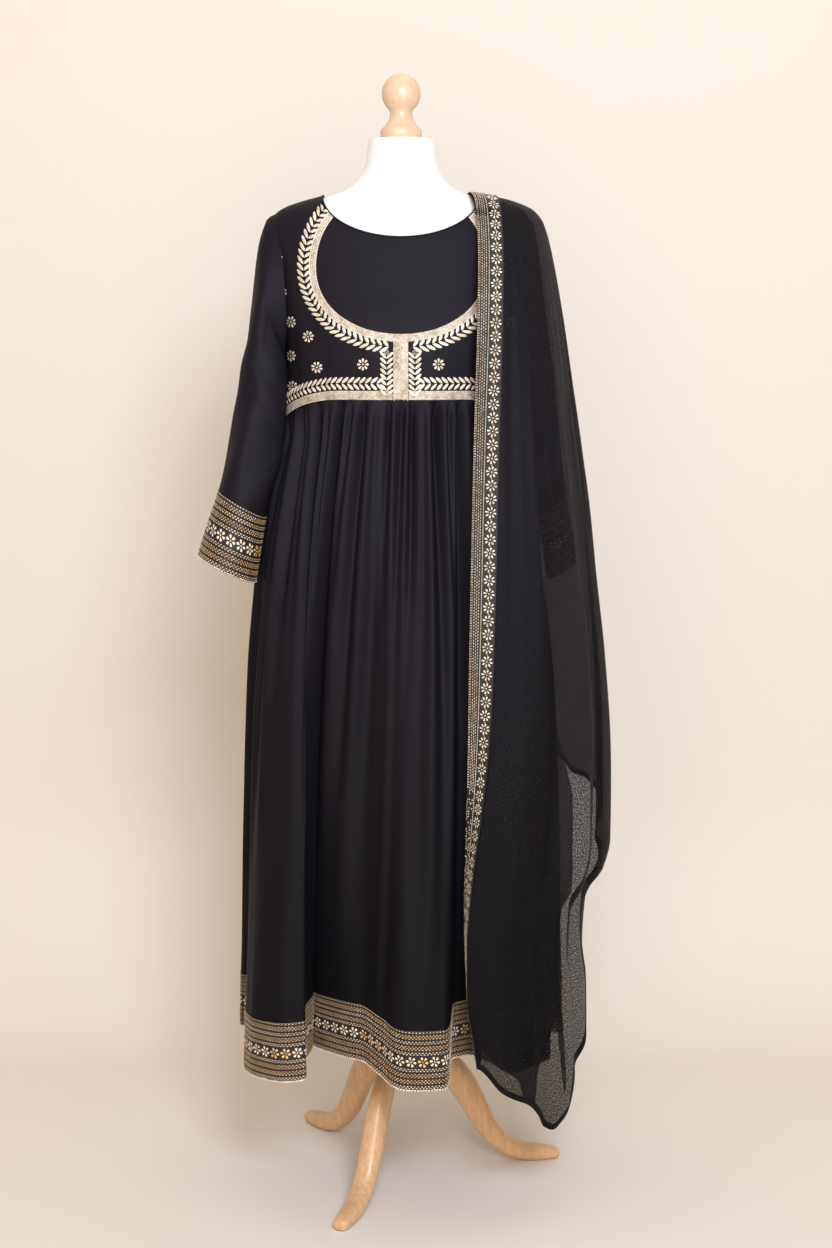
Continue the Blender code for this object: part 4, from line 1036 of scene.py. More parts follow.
def band_ground(name):
    """The closely worked ground of a cuff or hem band, whose rows run down its height."""
    band = Finish(name, (0.3, 0.2, 0.1), 0.6, Specular_IOR_Level=0.4)
    uv = band.place(uv="cloth")
    along = band.node("ShaderNodeSeparateXYZ", {}, uv)
    down = band.node("ShaderNodeSeparateXYZ", {}, uv, out=1)
    wander = band.noise(uv, 60.0, 1.0) - 0.5
    share = down / BAND_HEIGHT + wander * 0.006
    stops = [(place / BAND_HEIGHT, BAND_TONES[tone]) for place, tone in BAND_ROWS]
    rows = band.node("ShaderNodeValToRGB", {"blend": "CONSTANT", "stops": stops}, share)
    stitch = ((along * 2250.0).maths("SINE") * 0.5 + 0.5) * ((down * 3300.0).maths("SINE") * 0.5 + 0.5)
    speck = band.noise(uv, 700.0, 2.0)
    band.use(Base_Color=band.mix(stitch * 0.7 + (speck - 0.4) * 0.9, (0.012, 0.012, 0.012), rows))
    band.bump(stitch + speck, 0.5, 0.0008)
    return band


cuff_ground = band_ground("cuff_band")
BAND_FLOWER, BAND_FLOWER_PITCH, BAND_FLOWER_DOWN = flower(0.0156, 6), 0.0172, 0.0436
BAND_PITCH, BAND_ROW_PITCH = 0.0050, 0.0025
BAND_OUT = 0.0006
BAND_THREADS = {"pale": (0, 0.15), "gold": (1, 0.45)}
bead = dot(0.0014, 0.0012)


def band_work(name, surface, place, ends):
    """The rows of stitches, the flowers and the beaded edge of a cuff or hem band, between two
    ends along it. The pale and the gold rows have a thread and a lean each."""
    groups = []
    for (top, tone), (bottom, _) in zip(BAND_ROWS, BAND_ROWS[1:] + ((BAND_HEIGHT, ""),)):
        if tone in BAND_THREADS:
            index, lean = BAND_THREADS[tone]
            for k, across in enumerate(even(top, bottom, BAND_ROW_PITCH)):
                shift = (k % 2) * BAND_PITCH / 2
                row = chain(across, (ends[0] + shift, ends[1] + shift), index, BAND_PITCH, lean, 1.05)
                groups += mingled(row, 1 - index, 0.12)
    flowers = even(*ends, BAND_FLOWER_PITCH)
    groups += mingled((BAND_FLOWER, 0, flowers, BAND_FLOWER_DOWN, 0.2, 1.0), 1, 0.25)
    groups.append((bead, 0, even(*ends, 0.0040), BAND_HEIGHT - 0.0006, 0.0, 1.1))
    return stitched(name, surface, place, groups, [band_pale, band_gold], BAND_OUT)


around = np.linspace(0, 2 * math.pi, 97)
sleeve_shares = np.linspace(0.0, CUFF_FROM - 0.002, 64)
cuff_shares = np.linspace(CUFF_FROM, 1.0, 15)
cuff_drops = (cuff_shares - CUFF_FROM) / CUFF_SHARE * BAND_HEIGHT
for name, side, table in (("right", -1, SLEEVE_RIGHT), ("left", 1, SLEEVE_LEFT)):
    surface = sleeve_surface(table, side)
    sleeve = cloth_shell(
        "sleeve_cloth_" + name, surface, around[None], sleeve_shares[:, None],
        -GEORGETTE, 0.0, [georgette], closed=True,
    )
    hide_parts("sleeve_" + name)
    around_length = run_length(surface(around, CUFF_MIDDLE + 0 * around))
    girth = around_length[-1]
    cuff = cloth_shell(
        "cuff_cloth_" + name, surface, around[None], cuff_shares[:, None],
        -GEORGETTE, BAND_OUT, [cuff_ground], closed=True,
        uv=np.stack(np.meshgrid(around_length, cuff_drops), axis=-1),
    )

    def on_cuff(along, down):
        """From the length round the cuff, and the distance down its band."""
        around_place = np.interp(along % girth, around_length, around)
        return around_place, CUFF_FROM + CUFF_SHARE * down / BAND_HEIGHT

    cuff_stitches = band_work("cuff_stitches_" + name, surface, on_cuff, (0.0, girth))
    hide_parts("cuff_" + name)
    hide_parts("cuff_" + name)


# The skirt: two full panels of georgette gathered into the waist seam, hanging in uneven
# pleats that open into deep folds at the hem, where a wide embroidered band weighs it down.
SKIRT = Table(
    "height right left front back fullness",
    (0.222, 0.246, 0.246, 0.232, 0.232, 1.00),
    (0.307, 0.244, 0.244, 0.229, 0.228, 0.93),
    (0.506, 0.237, 0.236, 0.216, 0.215, 0.70),
    (0.677, 0.231, 0.228, 0.200, 0.198, 0.50),
    (0.800, 0.226, 0.220, 0.186, 0.182, 0.36),
    (0.900, 0.218, 0.209, 0.174, 0.168, 0.25),
    (0.960, 0.212, 0.201, 0.166, 0.158, 0.18),
    (1.040, 0.199, 0.185, 0.153, 0.140, 0.08),
    (1.100, 0.185, 0.178, 0.143, 0.126, 0.03),
    (1.146, 0.1745, 0.1735, 0.136, 0.115, 0.00),
    (1.191, 0.1735, 0.1735, 0.132, 0.114, 0.00),
)
# Round the hem, the crests and valleys of its folds: the azimuth in degrees, the radius and the
# height of the hem's edge there.
HEM_FOLDS = (
    (-106, 0.254, 0.231),
    (-90, 0.250, 0.231),
    (-82, 0.216, 0.236),
    (-74, 0.214, 0.236),
    (-58, 0.276, 0.210),
    (-35.5, 0.248, 0.215),
    (-52, 0.172, 0.236),
    (-20, 0.178, 0.234),
    (2, 0.242, 0.216),
    (14, 0.243, 0.215),
    (24, 0.186, 0.238),
    (32, 0.184, 0.238),
    (41, 0.256, 0.226),
    (58, 0.258, 0.226),
    (65, 0.202, 0.236),
    (76, 0.200, 0.236),
    (84, 0.246, 0.229),
    (99, 0.248, 0.229),
    (108, 0.202, 0.237),
    (119, 0.202, 0.237),
    (127, 0.258, 0.227),
    (143, 0.256, 0.227),
    (149, 0.190, 0.237),
    (161, 0.192, 0.237),
    (169, 0.254, 0.227),
    (187, 0.256, 0.227),
    (193, 0.196, 0.237),
    (204, 0.194, 0.237),
    (212, 0.258, 0.227),
    (230, 0.258, 0.227),
    (237, 0.206, 0.237),
    (247, 0.204, 0.237),
)
HEM_SAMPLES, HEM_FINE_SAMPLES = 720, 6001
HEM_BAND_FROM, HEM_BAND_MIDDLE, HEM_BAND_SHARE = 0.912, 0.96, 0.088
azimuth, radius, height = np.array(HEM_FOLDS).T
azimuth = np.concatenate([np.radians(azimuth) + lap * 2 * math.pi for lap in (-1, 0, 1)])
radius, height = np.tile(radius, 3), np.tile(height, 3)
chord = np.hypot(np.diff(radius * np.sin(azimuth)), np.diff(radius * np.cos(azimuth)))
chord = np.concatenate([[0], np.cumsum(chord)])
hem_line = Table("length azimuth radius height", *zip(chord, azimuth, radius, height))
fine = np.linspace(0, chord[-1], HEM_FINE_SAMPLES)
a, r = hem_line.at("azimuth", fine), hem_line.at("radius", fine)
length = np.concatenate([[0], np.cumsum(np.hypot(np.diff(r * np.sin(a)), np.diff(r * np.cos(a))))])
ends = [length[np.argmin(np.abs(a - end))] for end in (-math.pi, math.pi)]
hem_even = np.interp(np.linspace(*ends, HEM_SAMPLES + 1), length, fine)
HEM_AZIMUTH, HEM_RADIUS, HEM_HEIGHT = (
    hem_line.at(column, hem_even) for column in ("azimuth", "radius", "height")
)

# The pleats at the seam: the turn of each valley in degrees, its half width, its
# depth and the share of the skirt's length at which it has opened out.
PLEATS = (
    (-84, 2.2, 0.0080, 0.55),
    (-77, 1.5, 0.0050, 0.30),
    (-70, 2.0, 0.0070, 0.45),
    (-62, 2.4, 0.0130, 1.10),
    (-55, 1.4, 0.0050, 0.28),
    (-49.5, 1.6, 0.0060, 0.40),
    (-43, 2.2, 0.0140, 1.25),
    (-36, 1.4, 0.0050, 0.30),
    (-29, 2.2, 0.0130, 1.20),
    (-23, 1.3, 0.0050, 0.30),
    (-17, 1.7, 0.0080, 0.60),
    (-11, 1.3, 0.0050, 0.26),
    (-5.5, 1.4, 0.0050, 0.32),
    (0.5, 2.0, 0.0140, 1.15),
    (6, 1.3, 0.0050, 0.30),
    (11, 1.4, 0.0060, 0.40),
    (17, 2.0, 0.0110, 0.85),
    (23, 1.3, 0.0050, 0.30),
    (29, 1.6, 0.0070, 0.50),
    (38, 2.4, 0.0120, 1.00),
    (45, 1.5, 0.0050, 0.35),
    (52, 2.0, 0.0070, 0.50),
    (64, 2.5, 0.0100, 0.80),
    (79, 2.2, 0.0070, 0.55),
    (97, 2.4, 0.0080, 0.65),
    (104, 1.5, 0.0050, 0.30),
    (112, 2.1, 0.0070, 0.45),
    (124, 2.4, 0.0120, 1.05),
    (131, 1.5, 0.0050, 0.32),
    (138, 1.9, 0.0060, 0.45),
    (151, 2.3, 0.0120, 0.95),
    (158, 1.4, 0.0050, 0.30),
    (165, 1.9, 0.0060, 0.50),
    (178, 2.3, 0.0110, 1.00),
    (185, 1.4, 0.0050, 0.30),
    (191, 2.0, 0.0060, 0.45),
    (206, 2.4, 0.0120, 1.05),
    (213, 1.5, 0.0050, 0.32),
    (219, 1.9, 0.0060, 0.45),
    (233, 2.4, 0.0110, 0.90),
    (248, 2.1, 0.0070, 0.50),
    (262, 2.3, 0.0070, 0.55),
)
GATHERS, GATHER_DEPTH = 30, 0.0044
TUCKS, TUCK_DEPTH = 83, 0.0013
SOFT_FOLDS, SOFT_DEPTH = 17, 0.006
RIPPLES, RIPPLE_DEPTH = 43, 0.0022
PLEAT_SCALE, PLEAT_SPREAD = 1.5, 0.6
SKIRT_EASE = 0.0030
SEAM_RADIUS = 0.167


def round_hem(values, turn):
    """A value of the hem at a thread that leaves the waist seam at this turn."""
    place = (turn + math.pi) / (2 * math.pi) * HEM_SAMPLES
    return np.interp(place, np.arange(HEM_SAMPLES + 1), values)


def skirt_radius(azimuth, height):
    """The skirt's smooth outline, as an ellipse for each quarter."""
    sine, cosine = np.sin(azimuth), np.cos(azimuth)
    width = np.where(sine < 0, SKIRT.at("right", height), SKIRT.at("left", height))
    depth = np.where(cosine > 0, SKIRT.at("front", height), SKIRT.at("back", height))
    return 1 / np.sqrt((sine / width) ** 2 + (cosine / depth) ** 2)


def skirt_surface(turn, share):
    """The gathered skirt: turn names a thread at the waist seam, share runs down to the hem. Each
    thread swings out to its place in the hem's folds. Gathers and tucks are small waves at the
    seam, the pleats are cut into it, and soft folds swell between the seam and the hem."""
    lap = 2 * math.pi * np.floor((turn + math.pi) / (2 * math.pi))
    turn = turn - lap
    start = trunk_point(BODICE, turn, seam_height(turn))
    seam_azimuth = np.arctan2(start[..., 0], -start[..., 1])
    turned = np.clip(share, 0, 1) ** 0.8
    azimuth = seam_azimuth + (round_hem(HEM_AZIMUTH, turn) - seam_azimuth) * turned
    height = start[..., 2] + (round_hem(HEM_HEIGHT, turn) - start[..., 2]) * share
    above = np.hypot(start[..., 0], start[..., 1]) - skirt_radius(seam_azimuth, start[..., 2])
    smooth = skirt_radius(azimuth, height) + above * np.clip(1 - share / 0.2, 0, 1)
    hem_smooth = skirt_radius(round_hem(HEM_AZIMUTH, turn), 0.0)
    opened = (round_hem(HEM_RADIUS, turn) - hem_smooth) * SKIRT.at("fullness", height)
    uneven = 1 + 0.35 * np.sin(5 * turn + 1) + 0.25 * np.sin(11 * turn)
    fade = np.clip(0.35 + share / 0.06, 0, 1) * np.clip(1.25 - 1.6 * share, 0.12, 1)
    gather = GATHER_DEPTH * fade * uneven * np.cos(GATHERS * turn)
    fine_fade = np.clip(share / 0.02, 0, 1) * np.exp(-share / 0.10)
    tucks = TUCK_DEPTH * fine_fade * np.cos(TUCKS * turn + 3 * np.sin(7 * turn))
    swell = np.sin(math.pi * np.clip(share * 1.15, 0, 1))
    soft = SOFT_DEPTH * swell * np.cos(SOFT_FOLDS * turn + 1.2 * np.sin(3 * turn))
    ripple = RIPPLE_DEPTH * swell * np.sin(RIPPLES * turn + 2.0 * np.sin(5 * turn) + 3 * share)
    radius = smooth + opened + gather + tucks + (soft + ripple)
    begun = np.clip(share / 0.03, 0, 1)
    for middle, half, deep, end in PLEATS:
        away = np.degrees(turn) - middle
        away = (away + 180) % 360 - 180
        width = half * (1 + PLEAT_SPREAD * share)
        left = np.clip(1 - share / end, 0, 1) ** 0.5
        radius = radius - PLEAT_SCALE * deep * begun * left * np.exp(-((away / width) ** 2))
    radius = radius + SKIRT_EASE * begun * np.clip(1 - share / 0.6, 0, 1)
    return np.stack([radius * np.sin(azimuth), -radius * np.cos(azimuth), height], axis=-1)


hem_ground = band_ground("hem_band")
seam_edge = QUARTER - SEAM_GAP / 2 / SEAM_RADIUS
skirt_shares = [np.linspace(0.0012, 0.12, 26), np.linspace(0.13, HEM_BAND_FROM - 0.0006, 66)]
skirt_shares = np.concatenate(skirt_shares)
band_shares = np.linspace(HEM_BAND_FROM, 1.0, 11)
band_drops = (band_shares - HEM_BAND_FROM) / HEM_BAND_SHARE * BAND_HEIGHT
for name, middle in (("front", 0.0), ("back", math.pi)):
    turns = middle + np.linspace(-seam_edge, seam_edge, 421)
    skirt = cloth_shell(
        "skirt_cloth_" + name, skirt_surface, turns[None], skirt_shares[:, None],
        -GEORGETTE, 0.0, [georgette],
    )
    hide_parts("skirt_" + name)
    hem_length = measured(skirt_surface, turns, HEM_BAND_MIDDLE)
    hem_band = cloth_shell(
        "hem_band_" + name, skirt_surface, turns[None], band_shares[:, None],
        -GEORGETTE, BAND_OUT, [hem_ground],
        uv=np.stack(np.meshgrid(hem_length, band_drops), axis=-1),
    )

    def on_hem(along, down):
        """From the length along the hem, and the distance down its band."""
        return np.interp(along, hem_length, turns), HEM_BAND_FROM + HEM_BAND_SHARE * down / BAND_HEIGHT

    hem_ends = (hem_length[0], hem_length[-1])
    hem_stitches = band_work("hem_stitches_" + name, skirt_surface, on_hem, hem_ends)
    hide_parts("hem_border_" + name)
    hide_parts("hem_border_" + name)


# The dupatta: a long stole of sheer black chiffon, pleated over the left shoulder so that it
# falls in front and behind, with a rolled hem and one flowered border that faces the front.
# In plan it runs round the arm, from the inner edge in front to the inner edge behind.
DUPATTA = Table(
    "height inner side front back flat curl",
    (0.080, 0.120, 0.250, 0.240, 0.240, 1, 98),
    (0.126, 0.120, 0.258, 0.241, 0.240, 1, 98),
    (0.206, 0.118, 0.278, 0.242, 0.240, 1, 98),
    (0.286, 0.112, 0.276, 0.242, 0.240, 1, 104),
    (0.336, 0.099, 0.274, 0.241, 0.240, 1, 96),
    (0.380, 0.094, 0.268, 0.240, 0.240, 1, 90),
    (0.455, 0.091, 0.272, 0.237, 0.238, 1, 83),
    (0.495, 0.091, 0.298, 0.234, 0.236, 1, 77),
    (0.540, 0.092, 0.308, 0.231, 0.234, 1, 70),
    (0.677, 0.095, 0.306, 0.221, 0.222, 1, 42),
    (0.814, 0.096, 0.297, 0.206, 0.204, 1, 17),
    (0.935, 0.098, 0.284, 0.191, 0.186, 1, 6),
    (1.040, 0.100, 0.274, 0.177, 0.168, 0.8, 0),
    (1.158, 0.103, 0.258, 0.160, 0.146, 0.3, 0),
    (1.220, 0.105, 0.249, 0.153, 0.140, 0, 0),
    (1.290, 0.107, 0.239, 0.145, 0.138, 0, 0),
    (1.340, 0.108, 0.231, 0.133, 0.136, 0, 0),
    (1.400, 0.109, 0.220, 0.107, 0.126, 0, 0),
    (1.443, 0.108, 0.2075, 0.082, 0.104, 0, 0),
    (1.461, 0.105, 0.194, 0.069, 0.086, 0, 0),
    (1.4735, 0.102, 0.168, 0.055, 0.066, 0, 0),
    (1.4818, 0.099, 0.136, 0.033, 0.040, 0, 0),
    (1.4872, 0.096, 0.1005, 0.003, 0.003, 0, 0),
)
DUPATTA_SQUARENESS = 2.3
DUPATTA_TOP = DUPATTA.places[-1]
DUPATTA_END = Table(
    "share height",
    (0.00, 0.250),
    (0.08, 0.248),
    (0.12, 0.212),
    (0.17, 0.190),
    (0.20, 0.166),
    (0.225, 0.142),
    (0.25, 0.135),
    (0.28, 0.144),
    (0.31, 0.165),
    (0.35, 0.198),
    (0.38, 0.220),
    (0.41, 0.250),
    (0.435, 0.305),
    (0.455, 0.405),
    (0.475, 0.480),
    (0.50, 0.516),
    (0.53, 0.530),
    (0.57, 0.548),
    (0.61, 0.570),
    (0.66, 0.592),
    (0.75, 0.608),
    (0.86, 0.618),
    (1.00, 0.625),
)
# Its long folds: the share of the way round at the middle of each, half its width, its depth
# and the height at which it starts.
DUPATTA_FOLDS = (
    (0.150, 0.040, 0.007, 1.10),
    (0.215, 0.030, -0.009, 1.20),
    (0.280, 0.035, 0.010, 1.05),
    (0.350, 0.028, -0.012, 1.25),
    (0.410, 0.030, 0.009, 1.10),
    (0.530, 0.035, -0.010, 1.15),
    (0.610, 0.040, 0.010, 1.20),
    (0.700, 0.035, -0.010, 1.10),
    (0.790, 0.040, 0.009, 1.20),
    (0.880, 0.035, -0.008, 1.05),
)
STRIP_WIDTH, STRIP_SHARE, STRIP_STATIONS = 0.036, 0.08, 12
HALF_ROUND = 90
LEVEL_TO, STRIP_FROM = 1.290, 1.443
CHIFFON = 0.0007
WAVES, WAVE_DEPTH = 58, 0.0026
FINE_WAVES, FINE_WAVE_DEPTH = 131, 0.0011
FOLD_OPENS_IN, HANG_FROM, HANG_WITHIN = 0.45, 1.44, 0.3
EDGE_HELD = 0.05
STRIP_MOST = 0.4


def dupatta_plan(share, height):
    """A point of the dupatta's plan curve at each height, at its share of the way round. The
    border's strip lies flat at the front edge, turned out by its curl."""
    inner, side = DUPATTA.at("inner", height)[:, None], DUPATTA.at("side", height)[:, None]
    curl = np.radians(DUPATTA.at("curl", height))[:, None]
    flat = STRIP_WIDTH * DUPATTA.at("flat", height)[:, None]
    middle = inner + flat * np.cos(curl)
    turn = np.linspace(-QUARTER, QUARTER, 2 * HALF_ROUND + 1)[None]
    sine, cosine = np.sin(turn), np.cos(turn)
    square = DUPATTA_SQUARENESS
    scale = (np.abs(sine) ** square + np.abs(cosine) ** square) ** (-1 / square)
    front, back = DUPATTA.at("front", height)[:, None], DUPATTA.at("back", height)[:, None]
    depth = np.where(sine < 0, front, back)
    x, y = middle + (side - middle) * cosine * scale, depth * sine * scale
    strip = np.linspace(1, 0, STRIP_STATIONS, endpoint=False)[None] * flat
    x = np.concatenate([middle - strip * np.cos(curl), x], axis=1)
    y = np.concatenate([y[:, :1] + strip * np.sin(curl), y], axis=1)
    length = np.cumsum(np.hypot(np.diff(x, axis=1), np.diff(y, axis=1)), axis=1)
    length = np.concatenate([np.zeros((len(height), 1)), length], axis=1)
    whole, to_side = length[:, -1], length[:, STRIP_STATIONS + HALF_ROUND]
    near = np.minimum(STRIP_WIDTH, to_side * STRIP_MOST)
    far = np.minimum(STRIP_WIDTH, (whole - to_side) * STRIP_MOST)
    place = np.select(
        [share < STRIP_SHARE, share < 0.5, share <= 1 - STRIP_SHARE],
        [
            near * share / STRIP_SHARE,
            near + (to_side - near) * (share - STRIP_SHARE) / (0.5 - STRIP_SHARE),
            to_side + (whole - far - to_side) * (share - 0.5) / (0.5 - STRIP_SHARE),
        ],
        whole - far * (1 - share) / STRIP_SHARE,
    )
    index = np.clip((length <= place[:, None]).sum(axis=1) - 1, 0, length.shape[1] - 2)
    row = np.arange(len(height))
    step = (place - length[row, index]) / (length[row, index + 1] - length[row, index] + 1e-12)
    return (
        x[row, index] + (x[row, index + 1] - x[row, index]) * step,
        y[row, index] + (y[row, index + 1] - y[row, index]) * step,
    )


def dupatta_height(share, drop):
    """Level rows over the shoulder, then rows spread down to the lower edge."""
    end = DUPATTA_END.at("height", share)
    level = DUPATTA_TOP - drop
    fall = np.clip(LEVEL_TO - level, 0, None) / LEVEL_TO
    spread = LEVEL_TO - (LEVEL_TO - end) * fall
    return np.where(level > LEVEL_TO, level, spread)


def dupatta_surface(share, drop):
    """The dupatta's outer face: share runs from its front edge round the arm to its back edge."""
    share, drop = np.broadcast_arrays(np.clip(share, 0, 1), drop)
    height = dupatta_height(share, drop)
    x, y = dupatta_plan(share.ravel(), height.ravel())
    x, y = x.reshape(share.shape), y.reshape(share.shape)
    out = np.stack([x - DUPATTA.at("inner", height), y], axis=-1)
    out = out / (np.linalg.norm(out, axis=-1, keepdims=True) + 1e-9)
    ripple = 0.0 * x
    for middle, half, deep, start in DUPATTA_FOLDS:
        opened = np.clip((start - height) / FOLD_OPENS_IN, 0, 1)
        ripple = ripple + deep * opened * np.exp(-(((share - middle) / half) ** 2))
    hang = np.clip((HANG_FROM - height) / HANG_WITHIN, 0, 1)
    waves = np.sin(WAVES * share + 2.6 * height + 1.5 * np.sin(9 * share))
    ripple = ripple + hang * WAVE_DEPTH * waves
    ripple = ripple + hang * FINE_WAVE_DEPTH * np.sin(FINE_WAVES * share + 3.0 * height)
    edge = np.clip(np.minimum(share - STRIP_SHARE, 1 - STRIP_SHARE - share) / EDGE_HELD, 0, 1)
    ripple = ripple * edge
    return np.stack([x + out[..., 0] * ripple, y + out[..., 1] * ripple, height], axis=-1)


chiffon = black_cloth("black_chiffon", (0.0080, 0.0068, 0.0094), (0.0150, 0.0130, 0.0174), 1500.0)
open_weave = chiffon.noise(chiffon.place(uv="cloth"), 480.0, 0.0)
chiffon.use(Alpha=0.18 + open_weave * 0.90)
over = DUPATTA_TOP - np.array([1.4872, 1.4805, 1.47, 1.457, STRIP_FROM, 1.415, 1.37, 1.325])
below = DUPATTA_TOP - LEVEL_TO * (1 - np.linspace(0, 1, 12))
drop_rows = np.concatenate([over, below])
fine_rows = np.interp(np.linspace(0, 1, 151), np.linspace(0, 1, len(drop_rows)), drop_rows)
fine_shares = np.concatenate([np.linspace(0, 0.5, 84), np.linspace(0.5, 1, 84)[1:]])
dupatta_cloth = cloth_shell(
    "dupatta_cloth", dupatta_surface, fine_shares[None], fine_rows[:, None],
    -CHIFFON, 0.0, [chiffon],
)
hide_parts("dupatta")

INNER_FROM, INNER_TO = 0.086, 0.270
INNER_NARROWER, INNER_FULL, INNER_NARROWS_IN = 0.075, 0.72, 0.3
INNER_GAP, INNER_BELLY = 0.0016, 0.0062
INNER_END = Table(
    "share fall",
    (0.080, 0.965),
    (0.130, 0.968),
    (0.158, 0.972),
    (0.168, 0.990),
    (0.196, 0.992),
    (0.204, 0.950),
    (0.225, 0.905),
    (0.245, 0.868),
    (0.256, 0.856),
    (0.262, 0.940),
    (0.272, 0.965),
)


def inner_surface(share, drop):
    """The pleat behind the front: the cloth doubled back, close to the front at its fold."""
    middle, normal = laid(dupatta_surface, share, drop)
    away = np.clip((INNER_TO - share) / 0.04, 0, 1) * np.clip((share - INNER_FROM) / 0.03, 0, 1)
    return middle - normal * (INNER_GAP + INNER_BELLY * away)[..., None]


inner_steps = np.linspace(0, 1, 72)[None]
inner_drops = np.linspace(0, 1, 96)[:, None] ** 0.8
inner_narrow = np.clip((INNER_FULL - inner_drops) / INNER_NARROWS_IN, 0, 1)
inner_to = INNER_TO - INNER_NARROWER * inner_narrow
inner_shares = INNER_FROM + (inner_to - INNER_FROM) * inner_steps
inner_fall = inner_drops * INNER_END.at("fall", inner_shares)
inner_pleat = cloth_shell(
    "dupatta_inner_pleat", inner_surface, inner_shares, DUPATTA_TOP - LEVEL_TO * (1 - inner_fall),
    -CHIFFON, 0.0, [chiffon],
)
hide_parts("dupatta")

rolled_hem = black_cloth("black_rolled_hem", (0.0095, 0.0085, 0.0105), (0.0160, 0.0144, 0.0175), 1300.0)
rolled_hem.shader.inputs["Alpha"].default_value = 0.96
ROLL_WIDTH, ROLL_MOST, ROLL_OUT = 0.0085, 0.045, 0.0004
rolls = np.linspace(1, 0, 4)


def rolled_edge(name, shares, drops):
    """A hem rolled over the edge of the dupatta, a little thicker than its cloth."""
    inner = -CHIFFON - ROLL_OUT
    return cloth_shell(name, dupatta_surface, shares, drops, inner, ROLL_OUT, [rolled_hem])


edge_way = np.gradient(dupatta_surface(fine_shares, 0 * fine_shares + fine_rows[-1]), axis=0)
steep = np.linalg.norm(edge_way, axis=1) / (np.linalg.norm(edge_way[:, :2], axis=1) + 1e-9)
hem_rise = np.minimum(ROLL_WIDTH * steep, ROLL_MOST) * LEVEL_TO
hem_rise = hem_rise / (LEVEL_TO - DUPATTA_END.at("height", fine_shares))
dupatta_hem = rolled_edge(
    "dupatta_hem", fine_shares[None], fine_rows[-1] - rolls[:, None] * hem_rise[None]
)
back_rows = fine_rows[12:-3]
back_width = np.linalg.norm(dupatta_surface(1.0, back_rows) - dupatta_surface(0.98, back_rows), axis=1)
back_rolls = 1.0 - rolls[None] * np.minimum(ROLL_WIDTH / back_width * 0.02, 0.06)[:, None]
back_hem = rolled_edge("dupatta_back_hem", back_rolls, back_rows[:, None])

STRIP_STEPS = 8
RIDGE_Y = np.array([0.091, 0.074, 0.052, 0.030, 0.010, -0.010, -0.029, -0.048, -0.066])
RIDGE_X, RIDGE_SPREAD, RIDGE_SPREAD_BY, RIDGE_LIFT = 0.097, 0.011, 0.07, 0.0016
SMOOTHED_ROWS, SMOOTHINGS = 11, 6
SHOULDER_LOW, HALVINGS = 1.30, 30
falling = drop_rows[DUPATTA_TOP - drop_rows <= STRIP_FROM + 1e-6]
falling = np.interp(np.linspace(0, 1, 61), np.linspace(0, 1, len(falling)), falling)
strip_across = np.linspace(0, 1, STRIP_STEPS + 1)


def shoulder_level(x, y):
    """The height of the dupatta over the shoulder at a place in plan, by halving."""
    low = np.full(np.shape(x), SHOULDER_LOW)
    high = np.full(np.shape(x), DUPATTA_TOP)
    for _ in range(HALVINGS):
        z = (low + high) / 2
        inner = DUPATTA.at("inner", z)
        depth = np.where(y < 0, DUPATTA.at("front", z), DUPATTA.at("back", z))
        reach = np.abs((x - inner) / (DUPATTA.at("side", z) - inner)) ** DUPATTA_SQUARENESS
        inside = reach + np.abs(y / depth) ** DUPATTA_SQUARENESS < 1
        low, high = np.where(inside, z, low), np.where(inside, high, z)
    return (low + high) / 2


ridge_y = np.interp(np.linspace(0, 1, 33), np.linspace(0, 1, len(RIDGE_Y)), RIDGE_Y)[:, None]
ridge_x = RIDGE_X + RIDGE_SPREAD * np.minimum(np.abs(ridge_y) / RIDGE_SPREAD_BY, 1)
ridge_x = ridge_x + STRIP_WIDTH * strip_across[None]
ridge_y = ridge_y + 0 * ridge_x
ridge = np.stack([ridge_x, ridge_y, shoulder_level(ridge_x, ridge_y) + RIDGE_LIFT], axis=-1)
behind = dupatta_surface(1 - STRIP_SHARE * strip_across[None], falling[::-1, None])
before = dupatta_surface(STRIP_SHARE * strip_across[None], falling[:, None])
strip_grid = np.concatenate([behind, ridge, before])
first, last = len(behind) - SMOOTHED_ROWS, len(behind) + len(ridge) + SMOOTHED_ROWS
for _ in range(SMOOTHINGS):
    above, here, under = (strip_grid[first + k : last + k] for k in (-1, 0, 1))
    strip_grid[first:last] = (above + 2 * here + under) / 4
strip_length = run_length(strip_grid[:, STRIP_STEPS // 2])


def strip_surface(across, along):
    """The dupatta's border: across runs right from its free edge, along is its length in metres
    from the back's lower end over the shoulder to the front's."""
    across, along = np.broadcast_arrays(np.clip(across, 0, 1), along)
    row = np.interp(along, strip_length, np.arange(len(strip_length)))
    i = np.clip(row.astype(int), 0, len(strip_length) - 2)
    column = across * STRIP_STEPS
    j = np.clip(column.astype(int), 0, STRIP_STEPS - 1)
    s, t = (row - i)[..., None], (column - j)[..., None]
    near = strip_grid[i, j] * (1 - t) + strip_grid[i, j + 1] * t
    far = strip_grid[i + 1, j] * (1 - t) + strip_grid[i + 1, j + 1] * t
    return near * (1 - s) + far * s


def on_strip(across, along):
    """From the distance to the border's free edge, and the length along it."""
    return across / STRIP_WIDTH, along


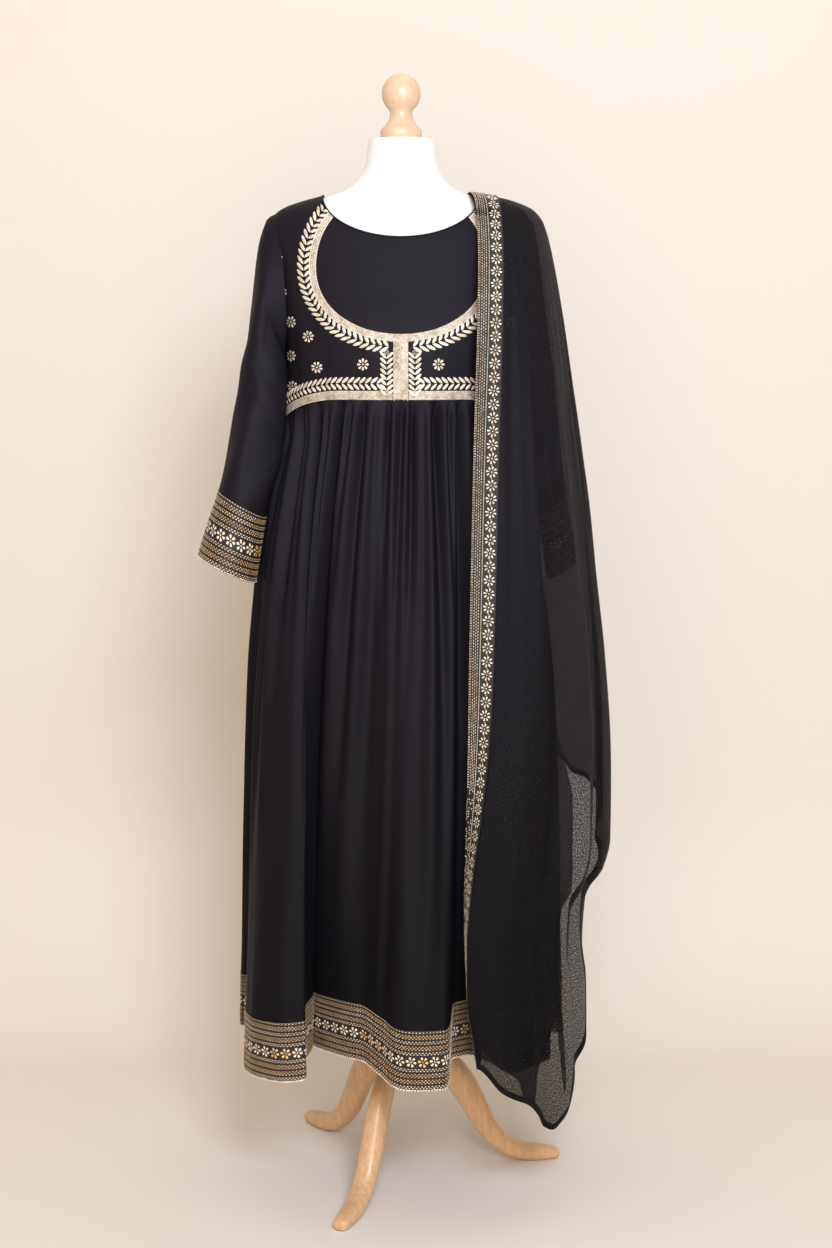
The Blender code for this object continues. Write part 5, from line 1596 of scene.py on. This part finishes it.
TAPE_FROM, TAPE_TO = 0.0002, 0.0010
border_tape = Finish("border_net", (0.012, 0.011, 0.012), 0.75)
net = border_tape.noise(border_tape.place(uv="cloth"), 1500.0, 1.0)
border_tape.use(Base_Color=border_tape.mix(net, (0.008, 0.007, 0.008), (0.03, 0.024, 0.02)))
border_tape.bump(net, 0.3, 0.0004)
strip_end = strip_length[-1]
dupatta_tape = cloth_shell(
    "dupatta_tape", strip_surface, strip_across[None], np.linspace(0.0, strip_end, 240)[:, None],
    TAPE_FROM, TAPE_TO, [border_tape],
)
WORN_LENGTH, WORN_SHARE = 0.40, 0.55
STRIP_LIFT, STRIP_EDGE_ROW = 0.0009, 0.0158
STRIP_FLOWER_PITCH, STRIP_FLOWER_ACROSS = 0.0190, 0.0262
# The border's plain rows: how far across each lies, its pitch, shift and size, and its share of gold.
STRIP_ROWS = (
    (0.0009, 0.0036, 0.0, 1.0, 0.3),
    (0.0027, 0.0036, 0.0, 1.0, 0.3),
    (0.0060, 0.0042, 0.0, 1.15, 0.2),
    (0.0090, 0.0042, 0.0020, 1.15, 0.2),
    (0.0120, 0.0042, 0.0, 1.15, 0.2),
)


def thinned(along):
    """The places of a row, of which many are left out where the border turns its edge forwards."""
    return along[(along < strip_end - WORN_LENGTH) | (chance.random(len(along)) > WORN_SHARE)]


rows = []
for across, pitch, shift, size, gold in STRIP_ROWS:
    along = thinned(even(0.0, strip_end, pitch) - HALF_GRAIN + shift)
    rows += mingled((grain, 0, across, along, QUARTER, size), 1, gold)
rows.append((grain, 0, STRIP_EDGE_ROW, even(0.0, strip_end, 0.0029) - HALF_GRAIN, QUARTER, 1.1))
flowers = even(0.004, strip_end - 0.004, STRIP_FLOWER_PITCH)
rows.append((flower(0.0166), 0, STRIP_FLOWER_ACROSS, flowers, 0.2, 1.0))
between = flowers + STRIP_FLOWER_PITCH / 2
rows.append((dot(0.0011, 0.0009), 1, STRIP_FLOWER_ACROSS, between, 0.0, 1.0))
dupatta_stitches = silver_work("dupatta_stitches", strip_surface, on_strip, rows, STRIP_LIFT)
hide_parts("dupatta_border")
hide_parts("dupatta_border")
